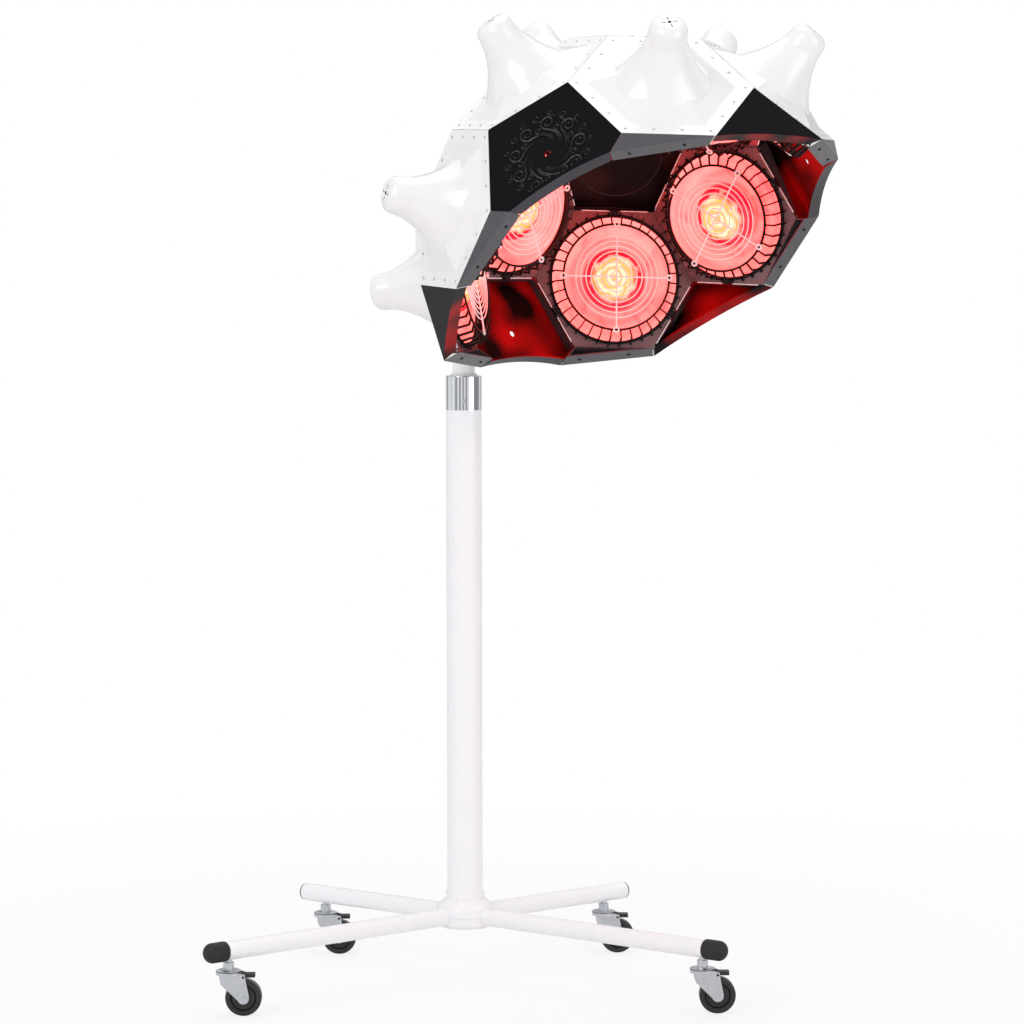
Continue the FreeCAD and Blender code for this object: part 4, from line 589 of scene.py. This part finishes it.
# reach, bearing from the scroll's own, curl radius, where the tail starts, its sweep, half width
VOLUTES = [(46 * MM, 0, 10.5 * MM, 19 * MM, 62, 1.9 * MM),
           (38 * MM, 20, 4.6 * MM, 22 * MM, 44, 1.4 * MM),
           (57 * MM, 17, 5.0 * MM, 45 * MM, 14, 1.3 * MM),
           (60 * MM, -3, 3.4 * MM, 55 * MM, 9, 1.1 * MM)]


def volute(reach, bearing, curl, tail_reach, tail_sweep, width):
    """(x, y, half width) along one scroll; angles in degrees, lengths in metres."""
    line = []
    turn_in = math.radians(bearing)
    for step in range(TAIL_STEPS):
        share = step / TAIL_STEPS
        angle = turn_in - math.radians(tail_sweep) * (1 - share)
        radius = tail_reach + (reach - curl - tail_reach) * share ** 0.8
        line.append((radius * math.cos(angle), radius * math.sin(angle),
                     width * (0.25 + 0.75 * share)))
    middle = Vector((reach * math.cos(turn_in), reach * math.sin(turn_in)))
    for step in range(CURL_STEPS + 1):
        share = step / CURL_STEPS
        angle = turn_in + math.pi - 2 * math.pi * CURL_TURNS * share
        radius = curl * (1 - CURL_CLOSES * share)
        line.append((middle.x + radius * math.cos(angle), middle.y + radius * math.sin(angle),
                     width * (1 - 0.45 * share)))
    return line


def ridge(mesh_maker, line, height):
    """Sweeps a half-round section along a line on the panel's face; thin ends lie lower."""
    section = [(-1.0, -0.1), (-0.75, 0.62), (0.0, 1.0), (0.75, 0.62), (1.0, -0.1)]
    rows = []
    for i, (x, y, half_width) in enumerate(line):
        ahead = Vector(line[min(i + 1, len(line) - 1)][:2]) - Vector(line[max(i - 1, 0)][:2])
        across = Vector((-ahead.y, ahead.x)).normalized()
        rise = height * min(1.0, half_width / FULL_RISE_WIDTH)
        rows.append([mesh_maker.verts.new((x + across.x * half_width * u,
                                           y + across.y * half_width * u, rise * v))
                     for u, v in section])
    for row, after in zip(rows, rows[1:]):
        for k in range(len(section) - 1):
            mesh_maker.faces.new((row[k], row[k + 1], after[k + 1], after[k]))
        mesh_maker.faces.new((row[-1], row[0], after[0], after[-1]))
    mesh_maker.faces.new(rows[0])
    mesh_maker.faces.new(list(reversed(rows[-1])))


# %% Rosettes on the panels
SIDE_CUT, SIDE_CUT_RADIUS, CUT_MARGIN = 42.3 * MM, 405 * MM, 4 * MM
RIDGE_HEIGHT, FULL_RISE_WIDTH = 1.5 * MM, 1.2 * MM
SHORTEST_RIDGE = 4                       # points; less is a crumb at the cut


def rosette(name, cut):
    """Nine scrolls; a cut panel keeps only what lies inside its rim arc."""
    mesh_maker = bmesh.new()
    for scroll in range(SCROLLS):
        turn = 360 / SCROLLS * scroll
        for reach, bearing, *rest in VOLUTES:
            line = volute(reach, turn + bearing, *rest)
            stretch = []
            for point in line + [None]:
                kept = point and not (cut and math.hypot(point[0] - SIDE_CUT - SIDE_CUT_RADIUS,
                                                         point[1]) < SIDE_CUT_RADIUS + CUT_MARGIN)
                if kept:
                    stretch.append(point)
                    continue
                if len(stretch) >= SHORTEST_RIDGE:
                    ridge(mesh_maker, stretch, RIDGE_HEIGHT)
                stretch = []
    bmesh.ops.recalc_face_normals(mesh_maker, faces=mesh_maker.faces)
    mesh = bpy.data.meshes.new(name)
    mesh_maker.to_mesh(mesh)
    mesh_maker.free()
    return mesh


for name, frames, cut in (("rosettes_upper", panel_frames, False),
                          ("rosettes_side", cut_panel_frames, True)):
    piece(name, stamp(name, rosette(name, cut), [hood @ facet for facet in frames]), "hood",
          polished_abs)

# %% [markdown]
# ## Reflectors and lamps
# The reflector is spun from thin sheet: a rolled rim, three shallow steps and a neck round the
# lampholder. The lamp is a mushroom of glass: a domed face, a round edge and a cone down to the
# neck. All ten are alike, so one mesh of each is shared by ten pieces, and each piece keeps its
# own axis for its pattern.

# %% Reflector and lamp outlines
REFLECTOR_RIM = 88.5 * MM
REFLECTOR_NECK = 19.5 * MM
REFLECTOR_WALL = 1.0 * MM
BULB_RADIUS = 45 * MM
BULB_CENTRE, BULB_FRONT = -17 * MM, -41 * MM
BULB_NECK, BULB_NECK_RISE, BULB_TOP = 13.5 * MM, 16 * MM, 66 * MM


def arc(start, end, radius, steps):
    """Points after the start, up to the end, on an arc that bulges to the right of the way."""
    chord = Vector(end) - Vector(start)
    right = Vector((chord.y, -chord.x)).normalized()
    middle = (Vector(start) + Vector(end)) / 2
    centre = middle - right * math.sqrt(radius ** 2 - chord.length ** 2 / 4)
    first = math.atan2(start[1] - centre.y, start[0] - centre.x)
    sweep = 2 * math.asin(chord.length / 2 / radius)
    return [(centre.x + radius * math.cos(first + sweep * step / steps),
             centre.y + radius * math.sin(first + sweep * step / steps))
            for step in range(1, steps + 1)]


bowl = [(REFLECTOR_RIM, -21.2 * MM), (REFLECTOR_RIM - 0.4 * MM, -18.2 * MM), (82 * MM, -14.9 * MM),
        (80 * MM, -13.7 * MM), (70 * MM, -9.1 * MM), (68 * MM, -7.6 * MM), (56 * MM, -3.0 * MM),
        (54 * MM, -1.8 * MM), (36 * MM, 4.0 * MM), (REFLECTOR_NECK, 11.6 * MM)]
shell = bowl + [(radius - 0.3 * REFLECTOR_WALL, height + REFLECTOR_WALL)
                for radius, height in reversed(bowl[1:])] + [(REFLECTOR_RIM + 0.2 * MM, -21.2 * MM)]
reflector_mesh = lathe("Reflector", shell, 96, closed=True)
face_end = (0.85 * BULB_RADIUS, BULB_FRONT + 0.55 * (BULB_CENTRE - BULB_FRONT))
widest = (BULB_RADIUS, BULB_CENTRE)
glass = [(0, BULB_FRONT)] + arc((0, BULB_FRONT), face_end, 62 * MM, 8)
glass += arc(face_end, widest, 0.3 * BULB_RADIUS, 5)
glass += [(0.55 * (BULB_RADIUS + BULB_NECK), 0.45 * BULB_CENTRE + 0.4 * BULB_NECK_RISE),
          (BULB_NECK, BULB_NECK_RISE), (BULB_NECK, BULB_TOP), (0, BULB_TOP + 1 * MM)]
bulb_mesh = lathe("Bulb", glass, 48)

# The reflector's finish has the lamp's red light painted on it.
aluminium = spun_aluminium_painted_glow(REFLECTOR_RIM)
lit_glass = lamp_glow(BULB_RADIUS)
for count, facet in enumerate(lamp_frames, start=1):
    piece("reflector_%02d" % count, reflector_mesh, "hood", aluminium,
          hood @ facet, ["reflectors"])
    piece("lamp_%02d" % count, bulb_mesh, "hood", lit_glass, hood @ facet,
          ["heat_lamps"])

# %% [markdown]
# ## Edges between the inner plates
# Beside each black panel, the folded white flange of the cover shows as a thin bright line. It
# runs along both halves of the plate's edge and stops at the middle, where the cage has its lug.

# %% White flanges that show inside
FLANGE_WIDTH, FLANGE_LENGTH, FLANGE_THICKNESS = 1.5 * MM, 40 * MM, 1.2 * MM
FLANGE_LEVEL, FLANGE_FROM = -21.0 * MM, 8 * MM
PLATE_RADIUS = 113.4 * MM
PANEL_SIDES = (30, 150, 270)             # bearings of the edges that a panel shares
flange = slot_inlay(FLANGE_LENGTH, FLANGE_WIDTH, FLANGE_THICKNESS)
flange_reach = PLATE_RADIUS * math.cos(math.radians(30))
flange_spots = []
for facet in lamp_frames:
    for turn in PANEL_SIDES:
        at_edge = Matrix.Rotation(math.radians(turn), 4, "Z") \
            @ Matrix.Translation((flange_reach, 0, FLANGE_LEVEL))
        for way in (90, -90):
            flange_spots.append(hood @ facet @ at_edge @ Matrix.Rotation(math.radians(way), 4, "Z")
                                @ Matrix.Translation((FLANGE_FROM, 0, 0)))
piece("cover_flanges", stamp("Cover_flanges", flange, flange_spots), "hood", white_abs)

# %% [markdown]
# ## Rings inside the panels
# Each whole black panel has a shallow moulded ring on its inner face, round the middle hole.

# %% Panel rings
RING_RADIUS, RING_HALF_WIDTH, RING_RELIEF = 62 * MM, 0.9 * MM, 0.7 * MM
PANEL_WALL = 2.5 * MM
ring_outline = [(RING_RADIUS - RING_HALF_WIDTH, 0), (RING_RADIUS, -RING_RELIEF),
                (RING_RADIUS + RING_HALF_WIDTH, 0), (RING_RADIUS, 0.2 * MM)]
panel_ring = lathe("Panel_ring", ring_outline, 64, closed=True)
ring_spots = [hood @ facet @ Matrix.Translation((0, 0, -PANEL_WALL)) for facet in panel_frames]
piece("panel_rings", stamp("Panel_rings", panel_ring, ring_spots), "hood", black_nylon)
print("panel rings:", len(ring_spots))

# %% [markdown]
# ## Caster details
# A rubber seal keeps hair out of each swivel race, and the wheel's hub is ribbed on both faces.

# %% Swivel seals and wheel hubs
SEAL_RADIUS, SEAL_WIRE = 16.9 * MM, 0.75 * MM
RIB_FROM, RIB_TO, RIB_WIDTH, RIB_RISE, RIBS = 8.6 * MM, 16.2 * MM, 1.4 * MM, 0.7 * MM, 8
WEB_LEVEL = 7.0 * MM
seal_outline = [(SEAL_RADIUS + SEAL_WIRE * math.cos(a), SEAL_WIRE * math.sin(a))
                for a in (math.radians(45 * k) for k in range(8))]
seal_mesh = lathe("Swivel_seal", seal_outline, 40, closed=True)
rib = slot_inlay(RIB_TO - RIB_FROM, RIB_WIDTH, RIB_RISE)
rib_spots = [Matrix.Rotation(math.radians(90), 4, "X")
             @ Matrix.Rotation(math.radians(360 / RIBS * turn), 4, "Z")
             @ Matrix.Translation((RIB_FROM, 0, face * WEB_LEVEL))
             for turn in range(RIBS) for face in (-1, 1)]
wheel_ribs = stamp("Wheel_ribs", rib, rib_spots)
joint_at = {joint["name"]: Vector(joint["pos_m"]) for joint in frame["joints"]
            if joint["type"] == "hinge"}
for leg in LEGS:
    piece("swivel_seal_" + leg, seal_mesh, "caster_" + leg, black_nylon,
          Matrix.Translation(joint_at["swivel_" + leg] + Vector((0, 0, SEAL_WIRE / 2))))
    piece("wheel_ribs_" + leg, wheel_ribs, "wheel_" + leg, tyre_rubber,
          Matrix.Translation(joint_at["roll_" + leg]))
print("swivel seals and ribbed wheels:", len(LEGS))

# %% [markdown]
# ## Room and light
# A pale floor and a white world. The world lights the part evenly and three large soft lamps give
# it form; together they are about one, so that a colour shows about as it is written. Camera rays
# see plain white, and mirrors see bright and dim bands. The floor keeps a faint shadow of the
# casters.

# %% World
AMBIENT = [0.62, 0.62, 0.63, 1]
DIM_BAND, WHITE = [0.3, 0.3, 0.31, 1], [1, 1, 1, 1]
world = bpy.data.worlds.new("Studio")
bpy.context.scene.world = world
world.use_nodes = True
sky = world.node_tree
sky.nodes.clear()
ray = add(sky, "ShaderNodeLightPath")
seen = add(sky, "ShaderNodeMath", {0: ray.outputs["Is Camera Ray"],
                                   1: ray.outputs["Is Transmission Ray"]}, operation="MAXIMUM")
direction = add(sky, "ShaderNodeTexCoord").outputs["Generated"]
lobes = add(sky, "ShaderNodeTexWave", {"Vector": direction, "Scale": 0.9, "Distortion": 0.6,
                                       "Phase Offset": 1.2}, wave_type="BANDS",
            bands_direction="X")
mirrored = add(sky, "ShaderNodeMix", {MIX_SHARE: lobes.outputs["Fac"],
                                      MIX_FIRST: DIM_BAND, MIX_SECOND: WHITE},
               data_type="RGBA")
around_part = add(sky, "ShaderNodeBackground", {"Color": AMBIENT, "Strength": 1.0})
in_gloss = add(sky, "ShaderNodeBackground", {"Color": mirrored.outputs[MIX_RESULT],
                                             "Strength": 1.0})
backdrop = add(sky, "ShaderNodeBackground", {"Color": WHITE, "Strength": 1.0})
lit = add(sky, "ShaderNodeMixShader", {0: ray.outputs["Is Glossy Ray"],
                                       1: around_part.outputs[0], 2: in_gloss.outputs[0]})
shown = add(sky, "ShaderNodeMixShader", {0: seen.outputs[0], 1: lit.outputs[0],
                                         2: backdrop.outputs[0]})
add(sky, "ShaderNodeOutputWorld", {"Surface": shown.outputs[0]})


# %% Floor
FLOOR_HALF = 14.0
SHADOW_REACH, ALL_WHITE_FROM = 0.45, 1.6     # metres from the pole
WHITE_AT_POLE = 0.8
floor_mesh = bpy.data.meshes.new("Floor")
floor_mesh.from_pydata([(-FLOOR_HALF, -FLOOR_HALF, 0), (FLOOR_HALF, -FLOOR_HALF, 0),
                        (FLOOR_HALF, FLOOR_HALF, 0), (-FLOOR_HALF, FLOOR_HALF, 0)], [],
                       [(0, 1, 2, 3)])
floor = bpy.data.objects.new("Floor", floor_mesh)
bpy.context.scene.collection.objects.link(floor)
floor_finish = bpy.data.materials.new("Floor_vinyl_pale")
floor_finish.use_nodes = True
ground = floor_finish.node_tree
vinyl = ground.nodes["Principled BSDF"]
vinyl.inputs["Base Color"].default_value = linear("#f4f4f4")
vinyl.inputs["Roughness"].default_value = 0.6
white_glow = add(ground, "ShaderNodeEmission", {"Color": WHITE, "Strength": 1.0})
floor_ray = add(ground, "ShaderNodeLightPath")
from_pole = add(ground, "ShaderNodeVectorMath",
                {0: add(ground, "ShaderNodeTexCoord").outputs["Object"]}, operation="LENGTH")
whiter = add(ground, "ShaderNodeMapRange", {"Value": from_pole.outputs["Value"],
                                            "From Min": SHADOW_REACH,
                                            "From Max": ALL_WHITE_FROM, "To Min": WHITE_AT_POLE})
share_seen = add(ground, "ShaderNodeMath", {0: floor_ray.outputs["Is Camera Ray"],
                                            1: whiter.outputs["Result"]}, operation="MULTIPLY")
floor_mix = add(ground, "ShaderNodeMixShader", {0: share_seen.outputs[0],
                                                1: vinyl.outputs[0], 2: white_glow.outputs[0]})
ground.links.new(floor_mix.outputs[0], ground.nodes["Material Output"].inputs["Surface"])
floor_mesh.materials.append(floor_finish)


# %% Soft lamps
def softbox(name, place, aim, size, power):
    light = bpy.data.lights.new(name, "AREA")
    light.shape = "SQUARE"
    light.size = size
    light.energy = power
    lamp = bpy.data.objects.new(name, light)
    bpy.context.scene.collection.objects.link(lamp)
    lamp.location = place
    lamp.rotation_euler = (Vector(aim) - Vector(place)).to_track_quat("-Z", "Y").to_euler()
    return lamp


MIDDLE = (0.1, -0.1, 0.8)
for name, place, size, power in (("Key_softbox", (-2.2, -3.0, 2.8), 2.0, 48),
                                 ("Fill_softbox", (2.8, -2.4, 1.6), 2.2, 27),
                                 ("Top_softbox", (0.2, 0.6, 3.6), 2.4, 27)):
    softbox(name, place, MIDDLE, size, power)
print("soft lamps:", [light.name for light in bpy.data.lights])

# %% [markdown]
# ## Camera
# A long lens about five metres away, level with the hood's rim and looking slightly down, so that
# the stand keeps its upright lines.

# %% Camera
SENSOR_WIDTH, FOCAL_LENGTH = 36, 122.1        # millimetres, as on a lens
CAMERA_PLACE = (-14.86 * MM, -4976.71 * MM, 1014.6 * MM)
LOOKS_DOWN, ROLL, PAN = 3.939, 0.093, -0.97   # degrees
lens = bpy.data.cameras.new("Camera")
lens.sensor_width = SENSOR_WIDTH
lens.lens = FOCAL_LENGTH
camera = bpy.data.objects.new("Camera", lens)
bpy.context.scene.collection.objects.link(camera)
camera.location = CAMERA_PLACE
camera.rotation_euler = [math.radians(turn) for turn in (90 - LOOKS_DOWN, ROLL, PAN)]
bpy.context.scene.camera = camera
bpy.context.scene.view_settings.view_transform = "Standard"
